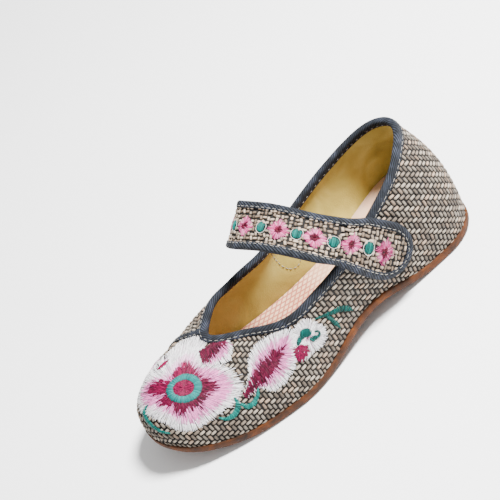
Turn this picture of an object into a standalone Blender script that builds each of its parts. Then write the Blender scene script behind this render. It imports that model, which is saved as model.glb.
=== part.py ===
"""A woman's cloth shoe for the left foot, with a strap over the instep.

The shoe stands unbent on its sole, the toe towards -Y and the outer side of
the foot towards +X. All sizes are in millimetres and are turned to metres
where the meshes are made.
"""
import bpy
import bmesh
import numpy as np

MM = 0.001
GAP = 0.3               # air left between neighbouring pieces

# the sole
LENGTH = 245.0          # toe tip to heel tip along the floor
BALL_HALF = 44.5        # half the width at the ball of the foot
TOE_ROUND = 0.20        # share of the length in which the toe outline closes
HEEL_ROUND = 0.135      # share of the length in which the heel outline closes
SOLE_THICK = 5.9        # rubber, floor to feather line
TOE_SPRING = 15.5       # lift of the toe tip above the floor
SPRING_END = 0.26       # share of the length where the toe meets the floor
ARCH_RISE = 9.4         # lift of the waist above the floor
ARCH_FRONT = 0.40       # shares of the length where the waist leaves the floor
ARCH_BACK = 0.82
EDGE_LIP = 1.3          # the sole stands out past the cloth by this much
TREAD_DEPTH = 1.3
TREAD_PITCH = 9.0
TREAD_WIDTH = 2.4
TREAD_MARGIN = 8.0      # plain rim left around the tread

# the cloth upper
WALL = 2.0              # woven cloth, stiffener and cotton lining
THROAT = 67.0           # toe tip to the front of the opening
BACK = 232.8            # toe tip to the back of the opening
OPEN_HALF = 33.0        # half the width of the opening at the instep
BACK_HEIGHT = 84.2      # floor to the top of the heel
THROAT_ROUND = 0.30     # share of the opening in which its front closes
BACK_ROUND = 0.20
FAN = 0.0485            # how far the wall's columns fan out from the throat
HEEL_SWELL = 5.6        # the heel's wall swells out over the sole
TOE_REACH = 42.2        # flat top of the toe before it turns down

# the wedge the foot stands on
BED_FRONT = 3.0         # thickness under the toes
BED_HEEL = 29.0         # thickness under the heel

# the tape that binds the edges
TAPE = 0.9              # thickness of the tape
TAPE_OUT = 5.8          # width seen outside the collar
TAPE_IN = 5.0           # width turned to the inside
SEAM_WIDTH = 5.4        # tape laid over the toe seam

# the strap
STRAP_CREST = 89.0      # floor to its middle line where it arches highest
STRAP_WIDTH = 30.0
STRAP_TIP_WIDTH = 35.5  # widest place of its free end
STRAP_THICK = 2.2
STRAP_END = 17.0        # length in which each end rounds off
STRAP_TAPE = 4.6        # width of the tape seen on the strap
STRAP_LEAVE = 20.0      # height above the collar over which it leaves the wall
PATCH_LENGTH = 10.0     # hook-and-loop patch below the strap's free end
PATCH_WIDTH = 14.0
PATCH_BACK = 17.0       # strap's tip to the middle of the patch

COLUMNS = 96            # stations around the shoe
ROWS = 10               # stations up the wall

# share of length, middle and half width as shares of the ball's half width
OUTLINE = np.array([
    (0.00, -0.083, 0.794),
    (0.05, -0.057, 0.826),
    (0.12, -0.037, 0.855),
    (0.20, -0.007, 0.933),
    (0.28, 0.024, 0.999),
    (0.36, 0.067, 1.004),
    (0.45, 0.083, 0.910),
    (0.55, 0.101, 0.780),
    (0.65, 0.087, 0.702),
    (0.75, 0.065, 0.705),
    (0.85, 0.027, 0.726),
    (1.00, 0.007, 0.735),
])

# share of opening, middle and half width as shares of its half width,
# outer and inner side's height as shares of the heel's height
COLLAR = np.array([
    (0.000, -0.199, 0.542, 0.565, 0.565),
    (0.100, -0.196, 0.707, 0.544, 0.604),
    (0.200, -0.030, 0.910, 0.553, 0.592),
    (0.370, 0.066, 1.004, 0.615, 0.603),
    (0.530, 0.031, 1.006, 0.670, 0.698),
    (0.700, -0.031, 0.905, 0.754, 0.804),
    (0.855, -0.028, 0.805, 0.880, 0.895),
    (0.950, -0.024, 0.757, 0.972, 0.968),
    (1.000, -0.013, 0.754, 1.000, 1.000),
])

# share of length, swell of the wall over the sole as a share of the heel's,
# height of that swell as a share of the wall, reach of the wall under the
# collar as a share of the toe's, its drop as a share of the wall
SWELL = np.array([
    (0.00, 0.20, 1.00, 1.00, 0.24),
    (0.06, 0.09, 0.63, 0.80, 0.32),
    (0.15, 0.16, 0.55, 0.53, 0.24),
    (0.28, 0.18, 0.46, 0.26, 0.22),
    (0.40, 0.18, 0.42, 0.17, 0.26),
    (0.55, 0.00, 0.39, 0.12, 0.30),
    (0.70, 0.00, 0.37, 0.12, 0.33),
    (0.85, 0.36, 0.37, 0.15, 0.34),
    (0.95, 0.73, 0.42, 0.19, 0.33),
    (1.00, 1.00, 0.50, 0.21, 0.31),
])

# share of length, thickness of the wedge between its toe and heel values
WEDGE = np.array([
    (0.00, 0.00),
    (0.20, 0.00),
    (0.42, 0.04),
    (0.60, 0.385),
    (0.78, 0.69),
    (0.95, 0.98),
    (1.00, 1.00),
])

# the strap's middle line from the inner end to the free outer end: share of
# its run, x as a share of the opening's half width, y from the toe as a share
# of the length, z as a share of the strap's crest, and how its face looks
STRAP = np.array([
    (0.000, -1.12, 0.604, 0.370, -1.00, 0.00, 0.10),
    (0.135, -1.08, 0.576, 0.630, -1.00, -0.10, 0.15),
    (0.251, -0.97, 0.524, 0.820, -0.87, -0.35, 0.40),
    (0.405, -0.48, 0.496, 0.990, -0.25, -0.60, 0.80),
    (0.550, 0.27, 0.537, 1.000, 0.20, -0.25, 0.90),
    (0.695, 0.94, 0.604, 0.850, 0.65, 0.15, 0.65),
    (0.810, 1.20, 0.671, 0.635, 0.95, 0.15, 0.30),
    (0.897, 1.26, 0.717, 0.465, 1.00, 0.05, 0.15),
    (0.965, 1.24, 0.753, 0.345, 1.00, 0.00, 0.10),
    (1.000, 1.23, 0.772, 0.285, 1.00, 0.00, 0.10),
])


def curve(table, column, at):
    """Smooth value of a table's column, its first column being the place."""
    place, value = table[:, 0], table[:, column]
    slope = np.gradient(value, place)
    at = np.clip(at, place[0], place[-1])
    low = np.searchsorted(place, at, side="right") - 1
    low = np.clip(low, 0, len(place) - 2)
    step = place[low + 1] - place[low]
    u = (at - place[low]) / step
    start = value[low] * (1 + 2 * u) * (1 - u) ** 2
    end = value[low + 1] * u * u * (3 - 2 * u)
    bend = slope[low] * u * (1 - u) ** 2 - slope[low + 1] * u * u * (1 - u)
    return start + end + step * bend


def closing(share, reach, power):
    """Goes from 0 to 1 within the reach, as the end of a rounded outline."""
    rest = 1 - np.clip(share / reach, 0, 1)
    return (1 - rest ** power) ** (1 / power)


def unit(vectors):
    return vectors / np.linalg.norm(vectors, axis=-1, keepdims=True)


def along(s):
    """Share of the length at station s: 0 toe, 0.5 heel, outer side first."""
    return (1 - np.cos(2 * np.pi * s)) / 2


def outer_side(s):
    return np.where(s % 1.0 <= 0.5, 1.0, -1.0)


def outline(s):
    a = along(s)
    ends = closing(a, TOE_ROUND, 2.3) * closing(1 - a, HEEL_ROUND, 2.1)
    half = curve(OUTLINE, 2, a) * ends
    x = BALL_HALF * (curve(OUTLINE, 1, a) + outer_side(s) * half)
    return np.stack([x, a * LENGTH], -1)


def outline_out(s):
    """Level direction that looks away from the shoe at station s."""
    run = outline(s + 1e-4) - outline(s - 1e-4)
    return unit(np.stack([run[..., 1], -run[..., 0]], -1))


def floor_lift(y):
    """Height of the sole's underside."""
    share = y / LENGTH
    toe = np.clip((SPRING_END - share) / SPRING_END, 0, 1) ** 2
    waist = (share - ARCH_FRONT) / (ARCH_BACK - ARCH_FRONT)
    arch = np.sin(np.pi * np.clip(waist, 0, 1)) ** 2
    return TOE_SPRING * toe + ARCH_RISE * arch


def bed_height(y):
    """Height of the cloth the foot stands on."""
    share = y / LENGTH
    toe = np.clip((SPRING_END - share) / SPRING_END, 0, 1) ** 2
    rise = BED_FRONT + (BED_HEEL - BED_FRONT) * curve(WEDGE, 1, share)
    return TOE_SPRING * toe + SOLE_THICK + rise


def collar(s):
    """Line of the collar's top edge."""
    fanned = s - FAN * np.sin(2 * np.pi * s)
    q = (1 - np.cos(2 * np.pi * fanned)) / 2
    ends = closing(q, THROAT_ROUND, 2.0) * closing(1 - q, BACK_ROUND, 2.0)
    side = outer_side(s)
    x = OPEN_HALF * (curve(COLLAR, 1, q) + side * curve(COLLAR, 2, q) * ends)
    outer, inner = curve(COLLAR, 3, q), curve(COLLAR, 4, q)
    z = BACK_HEIGHT * np.where(side > 0, outer, inner)
    return np.stack([x, THROAT + (BACK - THROAT) * q, z], -1)


def wall(s, w):
    """Outer face of the cloth: w is 0 at the sole and 1 at the collar."""
    s, w = np.broadcast_arrays(np.asarray(s, float), np.asarray(w, float))
    a = along(s)
    out = outline_out(s)
    level = outline(s) - EDGE_LIP * out
    z = floor_lift(level[..., 1]) + SOLE_THICK + GAP
    foot = np.concatenate([level, z[..., None]], -1)
    top = collar(s)
    tall = top[..., 2] - z
    swell, high, reach, drop = (curve(SWELL, k, a) for k in (1, 2, 3, 4))
    swell, reach = swell * HEEL_SWELL, reach * TOE_REACH
    lower = foot.copy()
    lower[..., :2] += out * swell[..., None]
    lower[..., 2] += high * tall
    upper = top.copy()
    upper[..., :2] += out * reach[..., None]
    upper[..., 2] -= drop * tall
    w = w[..., None]
    v = 1 - w
    return (foot * v ** 3 + 3 * lower * w * v * v
            + 3 * upper * w * w * v + top * w ** 3)


def wall_out(s, w):
    """Direction that looks straight out of the cloth."""
    e = 1e-4
    round_ = wall(s + e, w) - wall(s - e, w)
    up = wall(s, w + e) - wall(s, w - e)
    return unit(np.cross(round_, up))


def off_wall(s, w, out):
    """Point at a distance out of the cloth, inwards if it is negative."""
    out = np.asarray(out, float)[..., None]
    return wall(s, w) + wall_out(s, w) * out


def below_collar(s, down):
    """Value of w at a distance down the cloth from the collar's edge."""
    w = np.linspace(0.4, 1, 61)
    points = wall(np.asarray(s)[..., None], w)
    steps = np.linalg.norm(np.diff(points, axis=-2), axis=-1)
    run = np.flip(np.cumsum(np.flip(steps, -1), -1), -1)
    run = np.concatenate([run, np.zeros(run.shape[:-1] + (1,))], -1)
    flat = run.reshape(-1, 61)
    down = np.broadcast_to(down, run.shape[:-1]).reshape(-1)
    found = [np.interp(-d, -r, w) for d, r in zip(down, flat)]
    return np.array(found).reshape(run.shape[:-1])


def w_at_height(s, z, out):
    """Value of w where the face at a distance out has the height z."""
    low, high = np.zeros_like(s), np.ones_like(s)
    for _ in range(26):
        mid = (low + high) / 2
        under = off_wall(s, mid, out)[..., 2] < z
        low, high = np.where(under, mid, low), np.where(under, high, mid)
    return (low + high) / 2


def rim_height(y, side):
    """Height of the collar's edge at a place y of the outer or inner side."""
    s = np.linspace(0.001, 0.499, 120)
    outer, inner = collar(s), collar(1 - s)
    return np.where(side > 0, np.interp(y, outer[:, 1], outer[:, 2]),
                    np.interp(y, inner[:, 1], inner[:, 2]))


def wall_beside(y, z, side):
    """Station and w of the outer or inner wall at a place y, z."""
    s = np.arccos(1 - 2 * np.clip(y / LENGTH, 0.05, 0.95)) / (2 * np.pi)
    s = np.where(side > 0, s, 1 - s)
    w = np.clip(z / 70, 0.1, 1.0)
    e = 1e-4
    for _ in range(14):
        here = wall(s, w)
        ds = (wall(s + e, w) - here) / e
        dw = (wall(s, w + e) - here) / e
        miss_y, miss_z = y - here[..., 1], z - here[..., 2]
        det = ds[..., 1] * dw[..., 2] - dw[..., 1] * ds[..., 2]
        step_s = (miss_y * dw[..., 2] - dw[..., 1] * miss_z) / det
        step_w = (ds[..., 1] * miss_z - miss_y * ds[..., 2]) / det
        s = s + np.clip(step_s, -0.02, 0.02)
        w = np.clip(w + np.clip(step_w, -0.2, 0.2), 0.02, 1.0)
    return s, w


# the strap lies on the walls up to the collar and arches free above it
STRAP_STAND = TAPE + 2 * GAP + TAPE + GAP + STRAP_THICK / 2


STRAP_SIZES = (OPEN_HALF, LENGTH, STRAP_CREST)


def strap_middle(u):
    """Middle line of the strap at a share of its run."""
    line = [size * curve(STRAP, k + 1, u) for k, size in enumerate(STRAP_SIZES)]
    return np.stack(line, -1)


def strap_length():
    steps = np.diff(strap_middle(np.linspace(0, 1, 200)), axis=0)
    return np.linalg.norm(steps, axis=1).sum()


STRAP_LENGTH = strap_length()


def strap_point(p, q, h):
    """Point of the strap: p along it, q across it and h off its middle."""
    u = np.asarray(p, float) / STRAP_LENGTH
    e = 1e-3
    middle = strap_middle(u)
    run = unit(strap_middle(u + e) - strap_middle(u - e))
    face = np.stack([curve(STRAP, k, u) for k in (4, 5, 6)], -1)
    face = face - (face * run).sum(-1, keepdims=True) * run
    face = unit(face)
    across = np.cross(run, face)
    flare = np.clip((u - 0.70) / 0.19, 0, 1)
    flare = flare * flare * (3 - 2 * flare)
    wide = 1 + (STRAP_TIP_WIDTH / STRAP_WIDTH - 1) * flare
    point = middle + across * (np.asarray(q, float) * wide)[..., None]
    side = np.where(point[..., 0] > 0, 1.0, -1.0)
    rim = rim_height(point[..., 1], side)
    s, w = wall_beside(point[..., 1], np.minimum(point[..., 2], rim), side)
    beside = off_wall(s, w, STRAP_STAND)
    beside[..., 1:] += (point - wall(s, w))[..., 1:]
    hold = np.clip(1 - (point[..., 2] - rim) / STRAP_LEAVE, 0, 1)
    hold = hold * hold * (3 - 2 * hold)
    hold = np.where(np.abs(point[..., 0]) > 20, hold, 0.0)[..., None]
    point = point * (1 - hold) + beside * hold
    face = unit(face * (1 - hold) + wall_out(s, w) * hold)
    return point + face * np.asarray(h, float)[..., None]


def strap_loop(inset):
    """Stations around the strap's outline, starting at its inner end."""
    half = STRAP_WIDTH / 2 - inset
    bend = STRAP_END - inset
    turn = np.linspace(0, np.pi / 2, 6)[:-1]
    start = np.stack([STRAP_END - bend * np.cos(turn), half * np.sin(turn)], -1)
    run = np.linspace(STRAP_END, STRAP_LENGTH - STRAP_END, 25)
    side = np.stack([run, np.full(25, half)], -1)
    end = np.stack([STRAP_LENGTH - start[::-1, 0], start[::-1, 1]], -1)
    one = np.concatenate([start, side, end])
    other = one[1:-1][::-1] * (1, -1)
    return np.concatenate([one, other])


def show(name, colour, roughness, points, faces):
    """Makes one named solid with its own material from points and faces."""
    mesh = bpy.data.meshes.new(name)
    mesh.from_pydata([tuple(p) for p in points], [], faces)
    form = bmesh.new()
    form.from_mesh(mesh)
    bmesh.ops.remove_doubles(form, verts=form.verts, dist=1e-6)
    bmesh.ops.recalc_face_normals(form, faces=form.faces)
    form.to_mesh(mesh)
    form.free()
    thing = bpy.data.objects.new(name, mesh)
    bpy.context.scene.collection.objects.link(thing)
    for face in mesh.polygons:
        face.use_smooth = True
    mesh.set_sharp_from_angle(angle=0.6)
    material = bpy.data.materials.new(name)
    material.use_nodes = True
    shader = material.node_tree.nodes["Principled BSDF"]
    shader.inputs["Base Color"].default_value = colour
    shader.inputs["Roughness"].default_value = roughness
    mesh.materials.append(material)
    return thing


def hoop(sections):
    """Faces of a closed hoop made from closed sections."""
    count, points = sections.shape[:2]
    faces = []
    for i in range(count):
        for j in range(points):
            k, m = (i + 1) % count, (j + 1) % points
            faces.append((i * points + j, k * points + j,
                          k * points + m, i * points + m))
    return sections.reshape(-1, 3), faces


def plate(loops, low, high, shares=(0.25, 0.5, 0.75)):
    """Plate with a closed edge made of loops and two faces across it.

    A loop's station k lies across from its last station but k. The faces
    below and above are given as functions of the share across.
    """
    count = len(loops[0])
    half = count // 2
    points = [loop for loop in loops]
    base = [i * count for i in range(len(loops))]
    faces = []
    for a, b in zip(base[:-1], base[1:]):
        for k in range(count):
            m = (k + 1) % count
            faces.append((a + k, a + m, b + m, b + k))
    size = len(loops) * count
    for ring, inside in ((base[0], low), (base[-1], high)):
        rows = [[ring + k for k in range(half + 1)]]
        for share in shares:
            points.append(inside(share))
            rows.append(list(range(size, size + half + 1)))
            size += half + 1
        rows.append([ring + (count - k) % count for k in range(half + 1)])
        for one, two in zip(rows[:-1], rows[1:]):
            for k in range(half):
                faces.append((one[k], one[k + 1], two[k + 1], two[k]))
    return np.concatenate(points), faces


def across(loop, share):
    """Points between the stations that face each other on a loop."""
    half = len(loop) // 2
    one = loop[:half + 1]
    other = np.concatenate([loop[:1], loop[:half - 1:-1]])
    return one * (1 - share) + other * share


def slab(top, bottom):
    """Box-like piece between two grids of points."""
    n, m = top.shape[:2]
    points = np.concatenate([top.reshape(-1, 3), bottom.reshape(-1, 3)])
    size = n * m
    faces = []
    for i in range(n - 1):
        for j in range(m - 1):
            a = (i * m + j, i * m + j + 1, (i + 1) * m + j + 1, (i + 1) * m + j)
            faces.append(a)
            faces.append(tuple(size + k for k in reversed(a)))
    edge = [j for j in range(m)]
    edge += [i * m + m - 1 for i in range(1, n)]
    edge += [(n - 1) * m + j for j in range(m - 2, -1, -1)]
    edge += [i * m for i in range(n - 2, 0, -1)]
    for a, b in zip(edge, edge[1:] + edge[:1]):
        faces.append((a, b, size + b, size + a))
    return points, faces


for old in list(bpy.data.objects):
    bpy.data.objects.remove(old, do_unlink=True)

stations = np.arange(COLUMNS) / COLUMNS
pieces = {}

# Outsole: brown rubber, a rounded lower edge and a plain side band.
EDGE = [(-2.4, 0.0), (-0.9, 0.7), (-0.1, 2.0), (0.0, 4.6), (-0.3, SOLE_THICK)]


def sole_loop(out, level):
    xy = outline(stations) + outline_out(stations) * out
    z = floor_lift(xy[:, 1]) + level
    return np.column_stack([xy, z])


def sole_face(out, level):
    def face(share):
        row = across(sole_loop(out, level), share)
        row[:, 2] = floor_lift(row[:, 1]) + level
        return row
    return face


pieces["outsole"] = plate([sole_loop(*row) for row in EDGE],
                          sole_face(*EDGE[0]), sole_face(*EDGE[-1]))

# Insole: the peach cloth over a wedge that is thickest under the heel.
BED_SIDE = [0.0, 0.5, 0.9, 1.0]
BED_OFF = [0.0, 0.0, 0.0, 0.7]


def bed_loop(share, off):
    out = -(WALL + 1.2 * GAP + off)
    xy = outline(stations) + outline_out(stations) * (out - EDGE_LIP)
    low = floor_lift(xy[:, 1]) + SOLE_THICK + GAP
    high = bed_height(xy[:, 1])
    z = low + (high - low) * share
    w = w_at_height(stations, z, out)
    loop = off_wall(stations, w, out)
    low = floor_lift(loop[:, 1]) + SOLE_THICK + GAP
    high = bed_height(loop[:, 1])
    loop[:, 2] = low + (high - low) * share
    return loop


bed_loops = [bed_loop(share, off) for share, off in zip(BED_SIDE, BED_OFF)]


def bed_low(share):
    row = across(bed_loops[0], share)
    row[:, 2] = floor_lift(row[:, 1]) + SOLE_THICK + GAP
    return row


def bed_high(share):
    row = across(bed_loops[-1], share)
    hollow = 4 * share * (1 - share) * 1.0
    row[:, 2] = bed_height(row[:, 1]) - hollow
    return row


pieces["insole"] = plate(bed_loops, bed_low, bed_high)

# Upper: one hollow wall, open at the collar and over the sole.
edge_w = below_collar(stations, TAPE + GAP)
columns = []
for s, top in zip(stations, edge_w):
    w = top * np.linspace(0, 1, ROWS + 1)
    same = np.full(ROWS + 1, s)
    outside = off_wall(same, w, np.zeros(ROWS + 1))
    inside = off_wall(same, w, np.full(ROWS + 1, -WALL))
    inside[0, 2] = outside[0, 2]
    columns.append(np.concatenate([outside, inside[::-1]]))
pieces["upper"] = hoop(np.array(columns))

# Collar binding: tape folded over the edge of the cloth, down both faces.
THIN = GAP + TAPE
FOLD = [
    (TAPE_OUT, GAP),
    (TAPE_OUT, THIN - 0.25),
    (TAPE_OUT - 0.6, THIN),
    (1.5, THIN),
    (0.4, THIN - 0.5),
    (0.0, -WALL / 2),
    (0.4, -WALL - THIN + 0.5),
    (1.5, -WALL - THIN),
    (TAPE_IN, -WALL - THIN),
    (TAPE_IN, -WALL - GAP),
    (TAPE, -WALL - GAP),
    (TAPE, GAP),
]
fold = []
for down, out in FOLD:
    w = below_collar(stations, down)
    fold.append(off_wall(stations, w, np.full(COLUMNS, out)))
pieces["collar_binding"] = hoop(np.stack(fold, 1))

# Toe seam binding: the same tape from the throat down the inner side.
SEAM_TOP = 0.955        # stations where the seam leaves the collar
SEAM_FOOT = 0.852       # and where it meets the sole
share = np.linspace(0, 1, 15)
w_top = below_collar(np.array([SEAM_TOP]), TAPE_OUT + 2 * GAP)[0]
seam_w = 0.02 + (w_top - 0.02) * share
seam_s = SEAM_FOOT + (SEAM_TOP - SEAM_FOOT) * share ** 1.25
faces = []
for out in (THIN, GAP):
    middle = wall(seam_s, seam_w)
    run = unit(np.gradient(middle, axis=0))
    side = np.cross(wall_out(seam_s, seam_w), run)
    grid = []
    for part in (-0.5, 0.0, 0.5):
        aim = middle + side * SEAM_WIDTH * part
        s, w = seam_s.copy(), seam_w.copy()
        e = 1e-4
        for _ in range(8):
            here = wall(s, w)
            ds = (wall(s + e, w) - here) / e
            dw = (wall(s, w + e) - here) / e
            miss = aim - here
            aa, ab, bb = (ds * ds).sum(-1), (ds * dw).sum(-1), (dw * dw).sum(-1)
            ma, mb = (miss * ds).sum(-1), (miss * dw).sum(-1)
            det = aa * bb - ab * ab
            s = s + (ma * bb - mb * ab) / det
            w = w + (mb * aa - ma * ab) / det
        limit = below_collar(s, TAPE_OUT + 2 * GAP)
        w = np.clip(w, 0.015, limit)
        grid.append(off_wall(s, w, np.full(len(s), out)))
    faces.append(np.stack(grid, 1))
pieces["toe_seam_binding"] = slab(faces[0], faces[1])

# Strap: the woven band itself, its edges hidden in the tape.
THICK = STRAP_THICK / 2
band = strap_loop(TAPE + GAP)


def strap_face(level):
    def face(share):
        row = across(band, share)
        return strap_point(row[:, 0], row[:, 1], np.full(len(row), level))
    return face


band_loops = [strap_point(band[:, 0], band[:, 1], np.full(len(band), h))
              for h in (-THICK, THICK)]
lip = (STRAP_TAPE - TAPE - GAP) / (STRAP_WIDTH - 2 * (TAPE + GAP))
pieces["strap"] = plate(band_loops, strap_face(-THICK), strap_face(THICK),
                        (lip, 0.31, 0.5, 0.69, 1 - lip))

# Strap binding: tape folded around the strap's whole edge.
ROLL = [
    (STRAP_TAPE, THICK + GAP),
    (STRAP_TAPE, THICK + THIN),
    (0.5, THICK + THIN),
    (0.0, THICK),
    (0.0, -THICK),
    (0.5, -THICK - THIN),
    (STRAP_TAPE, -THICK - THIN),
    (STRAP_TAPE, -THICK - GAP),
    (TAPE, -THICK - GAP),
    (TAPE, THICK + GAP),
]
roll = []
for inset, level in ROLL:
    loop = strap_loop(inset)
    roll.append(strap_point(loop[:, 0], loop[:, 1], np.full(len(loop), level)))
pieces["strap_binding"] = hoop(np.stack(roll, 1))

# Hook-and-loop patch: sewn on the outer wall below the strap's free end.
p = np.linspace(-PATCH_LENGTH / 2, PATCH_LENGTH / 2, 8)
q = np.linspace(-PATCH_WIDTH / 2, PATCH_WIDTH / 2, 6)
p, q = np.meshgrid(p + STRAP_LENGTH - PATCH_BACK, q, indexing="ij")
under = strap_point(p, q, np.full(p.shape, -THICK - GAP))
s, w = wall_beside(under[..., 1], under[..., 2], np.ones(p.shape))
pieces["hook_patch"] = slab(under, off_wall(s, w, np.full(p.shape, GAP)))

# Everything is set on the floor with its box centred over the origin.
LOOKS = {
    "outsole": ((0.16, 0.055, 0.02, 1), 0.6),
    "insole": ((0.75, 0.46, 0.31, 1), 0.9),
    "upper": ((0.50, 0.41, 0.34, 1), 0.85),
    "collar_binding": ((0.11, 0.14, 0.18, 1), 0.8),
    "toe_seam_binding": ((0.11, 0.14, 0.18, 1), 0.8),
    "strap": ((0.50, 0.41, 0.34, 1), 0.85),
    "strap_binding": ((0.11, 0.14, 0.18, 1), 0.8),
    "hook_patch": ((0.02, 0.02, 0.02, 1), 0.9),
}
every = np.concatenate([points for points, _ in pieces.values()])
low, high = every.min(0), every.max(0)
shift = np.array([(low[0] + high[0]) / 2, (low[1] + high[1]) / 2, low[2]])
things = {}
for name, (points, faces) in pieces.items():
    colour, roughness = LOOKS[name]
    things[name] = show(name, colour, roughness, (points - shift) * MM, faces)

# Tread: grooves across the forefoot and the heel of the sole.
zones = ((30.0, 104.0), (204.0, 234.0))
box_points, box_faces = [], []
for start, stop in zones:
    for y in np.arange(start, stop, TREAD_PITCH):
        a = y / LENGTH
        s = np.arccos(1 - 2 * a) / (2 * np.pi)
        right = outline(np.array([s]))[0, 0] - TREAD_MARGIN
        left = outline(np.array([1 - s]))[0, 0] + TREAD_MARGIN
        z = floor_lift(np.array(y))
        first = len(box_points)
        for dz in (-1.5, TREAD_DEPTH):
            for dx in (left, right):
                for dy in (0.0, TREAD_WIDTH):
                    box_points.append((dx, y + dy, z + dz))
        for face in ((0, 1, 3, 2), (4, 6, 7, 5), (0, 4, 5, 1),
                     (2, 3, 7, 6), (0, 2, 6, 4), (1, 5, 7, 3)):
            box_faces.append(tuple(first + k for k in face))
cutter = show("tread_cutter", (0.1, 0.1, 0.1, 1), 0.9,
              (np.array(box_points) - shift) * MM, box_faces)
cutter.hide_render = True
cutter.display_type = "WIRE"
tread = things["outsole"].modifiers.new("tread", "BOOLEAN")
tread.operation = "DIFFERENCE"
tread.solver = "EXACT"
tread.object = cutter
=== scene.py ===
import bpy
import bmesh
import numpy as np
from mathutils import Matrix, Vector
from mathutils.bvhtree import BVHTree


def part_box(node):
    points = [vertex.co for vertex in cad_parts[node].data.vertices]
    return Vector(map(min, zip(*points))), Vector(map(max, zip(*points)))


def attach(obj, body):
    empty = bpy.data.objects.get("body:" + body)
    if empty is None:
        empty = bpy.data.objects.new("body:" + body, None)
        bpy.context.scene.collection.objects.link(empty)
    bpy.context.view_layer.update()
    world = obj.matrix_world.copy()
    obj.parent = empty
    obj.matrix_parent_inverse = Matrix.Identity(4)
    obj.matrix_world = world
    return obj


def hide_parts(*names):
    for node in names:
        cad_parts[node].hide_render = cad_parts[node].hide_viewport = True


# A woman's embroidered cloth shoe for the left foot, in cloth, silk and tape
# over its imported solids. It goes from the sole upwards, then to the strap.
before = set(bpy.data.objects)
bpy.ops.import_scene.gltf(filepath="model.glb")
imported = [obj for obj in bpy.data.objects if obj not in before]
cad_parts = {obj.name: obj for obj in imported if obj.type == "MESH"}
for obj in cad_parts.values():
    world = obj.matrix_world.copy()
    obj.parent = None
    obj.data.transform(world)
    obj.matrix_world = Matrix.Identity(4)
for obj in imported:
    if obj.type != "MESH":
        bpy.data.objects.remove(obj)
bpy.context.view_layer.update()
chance = np.random.default_rng(842)


# Outsole
# A thin sole of moulded brown rubber glued on under the cloth. Its side is
# plain and a little mottled, its underside is grooved for grip.
def colour(code):
    """An sRGB hex colour as a linear one."""
    part = np.array([int(code[i:i + 2], 16) for i in (1, 3, 5)]) / 255
    linear = ((part + 0.055) / 1.055) ** 2.4
    return (*np.where(part <= 0.04045, part / 12.92, linear), 1.0)


def add(tree, kind, sockets=(), ramp=(), **settings):
    """Adds a node with its settings, values or links, and colour steps."""
    made = tree.nodes.new("ShaderNode" + kind)
    for name, value in settings.items():
        setattr(made, name, value)
    for key, value in dict(sockets).items():
        if isinstance(value, bpy.types.NodeSocket):
            tree.links.new(value, made.inputs[key])
        else:
            made.inputs[key].default_value = value
    for k, (place, code) in enumerate(ramp):
        steps = made.color_ramp.elements
        step = steps[k] if k < 2 else steps.new(place)
        step.position = place
        step.color = colour(code)
    return made.outputs


def material(name, roughness, **constants):
    """A material, its node tree and its shader with the constant sockets."""
    made = bpy.data.materials.new(name)
    made.use_nodes = True
    shader = made.node_tree.nodes["Principled BSDF"]
    shader.inputs["Roughness"].default_value = roughness
    for key, value in constants.items():
        shader.inputs[key.replace("_", " ")].default_value = value
    return made, made.node_tree, shader


def dress(tree, shader, tint, *reliefs):
    """Gives the shader its colour and its reliefs, one over the other.

    A relief is a height, its depth in metres and its strength.
    """
    tree.links.new(tint, shader.inputs["Base Color"])
    bump = {}
    for height, depth, strength in reliefs:
        bump |= {"Height": height, "Distance": depth, "Strength": strength}
        bump["Normal"] = add(tree, "Bump", bump)["Normal"]
    tree.links.new(bump["Normal"], shader.inputs["Normal"])


def shown(name, mesh):
    """A piece that shows a mesh and rides with the shoe."""
    piece = bpy.data.objects.new(name, mesh)
    bpy.context.scene.collection.objects.link(piece)
    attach(piece, "root")
    return piece


def dyed(mesh, dyes):
    """Gives each point of a mesh its own dye, with any painted shade already
    in it.
    """
    layer = mesh.color_attributes.new("dye", "FLOAT_COLOR", "POINT")
    layer.data.foreach_set("color", dyes.astype(np.float32).ravel())


def put(name, form, finishes, stands_for=(), sharp=0.6):
    """Makes a piece of a finished bmesh, which may stand for solids."""
    mesh = bpy.data.meshes.new(name)
    form.to_mesh(mesh)
    form.free()
    for finish in finishes:
        mesh.materials.append(finish)
    mesh.shade_smooth()
    mesh.set_sharp_from_angle(angle=sharp)
    piece = shown(name, mesh)
    if stands_for:
        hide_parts(*stands_for)
    return piece


def merged(solid):
    """A copy of a solid with its loose triangles joined."""
    form = bmesh.new()
    form.from_mesh(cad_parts[solid].data)
    bmesh.ops.remove_doubles(form, verts=form.verts, dist=1e-6)
    return form


# moulded rubber: matt, mottled from the mould, with dust in its fine grain
rubber, tree, shader = material("moulded_rubber", 0.75, IOR=1.5,
                                Specular_IOR_Level=0.25)
place = add(tree, "TexCoord")["Object"]
cloud = add(tree, "TexNoise", {"Vector": place, "Scale": 95.0, "Detail": 5.0,
                               "Roughness": 0.62, "Distortion": 0.6})["Fac"]
brown = add(tree, "ValToRGB", {"Fac": cloud}, ramp=(
    (0.28, "#180900"), (0.72, "#683502"), (0.47, "#3A1B00"),
    (0.60, "#4E2500")))["Color"]
streak = add(tree, "Mapping", {"Vector": place, "Scale": (150, 150, 600)})
streak = add(tree, "TexNoise", {"Vector": streak["Vector"], "Scale": 1.0,
                                "Detail": 3.0})["Fac"]
streak = add(tree, "MapRange", {"Value": streak, 3: 0.72, 4: 1.12})["Result"]
brown = add(tree, "Mix", {0: 1.0, 6: brown, 7: streak},
            data_type="RGBA", blend_type="MULTIPLY")[2]
grain = add(tree, "TexNoise", {"Vector": place, "Scale": 2200.0,
                               "Detail": 3.0})["Fac"]
dress(tree, shader, brown, (grain, 0.00025, 0.6))
sole = put("rubber_outsole", merged("outsole"), [rubber], ["outsole"])

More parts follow.
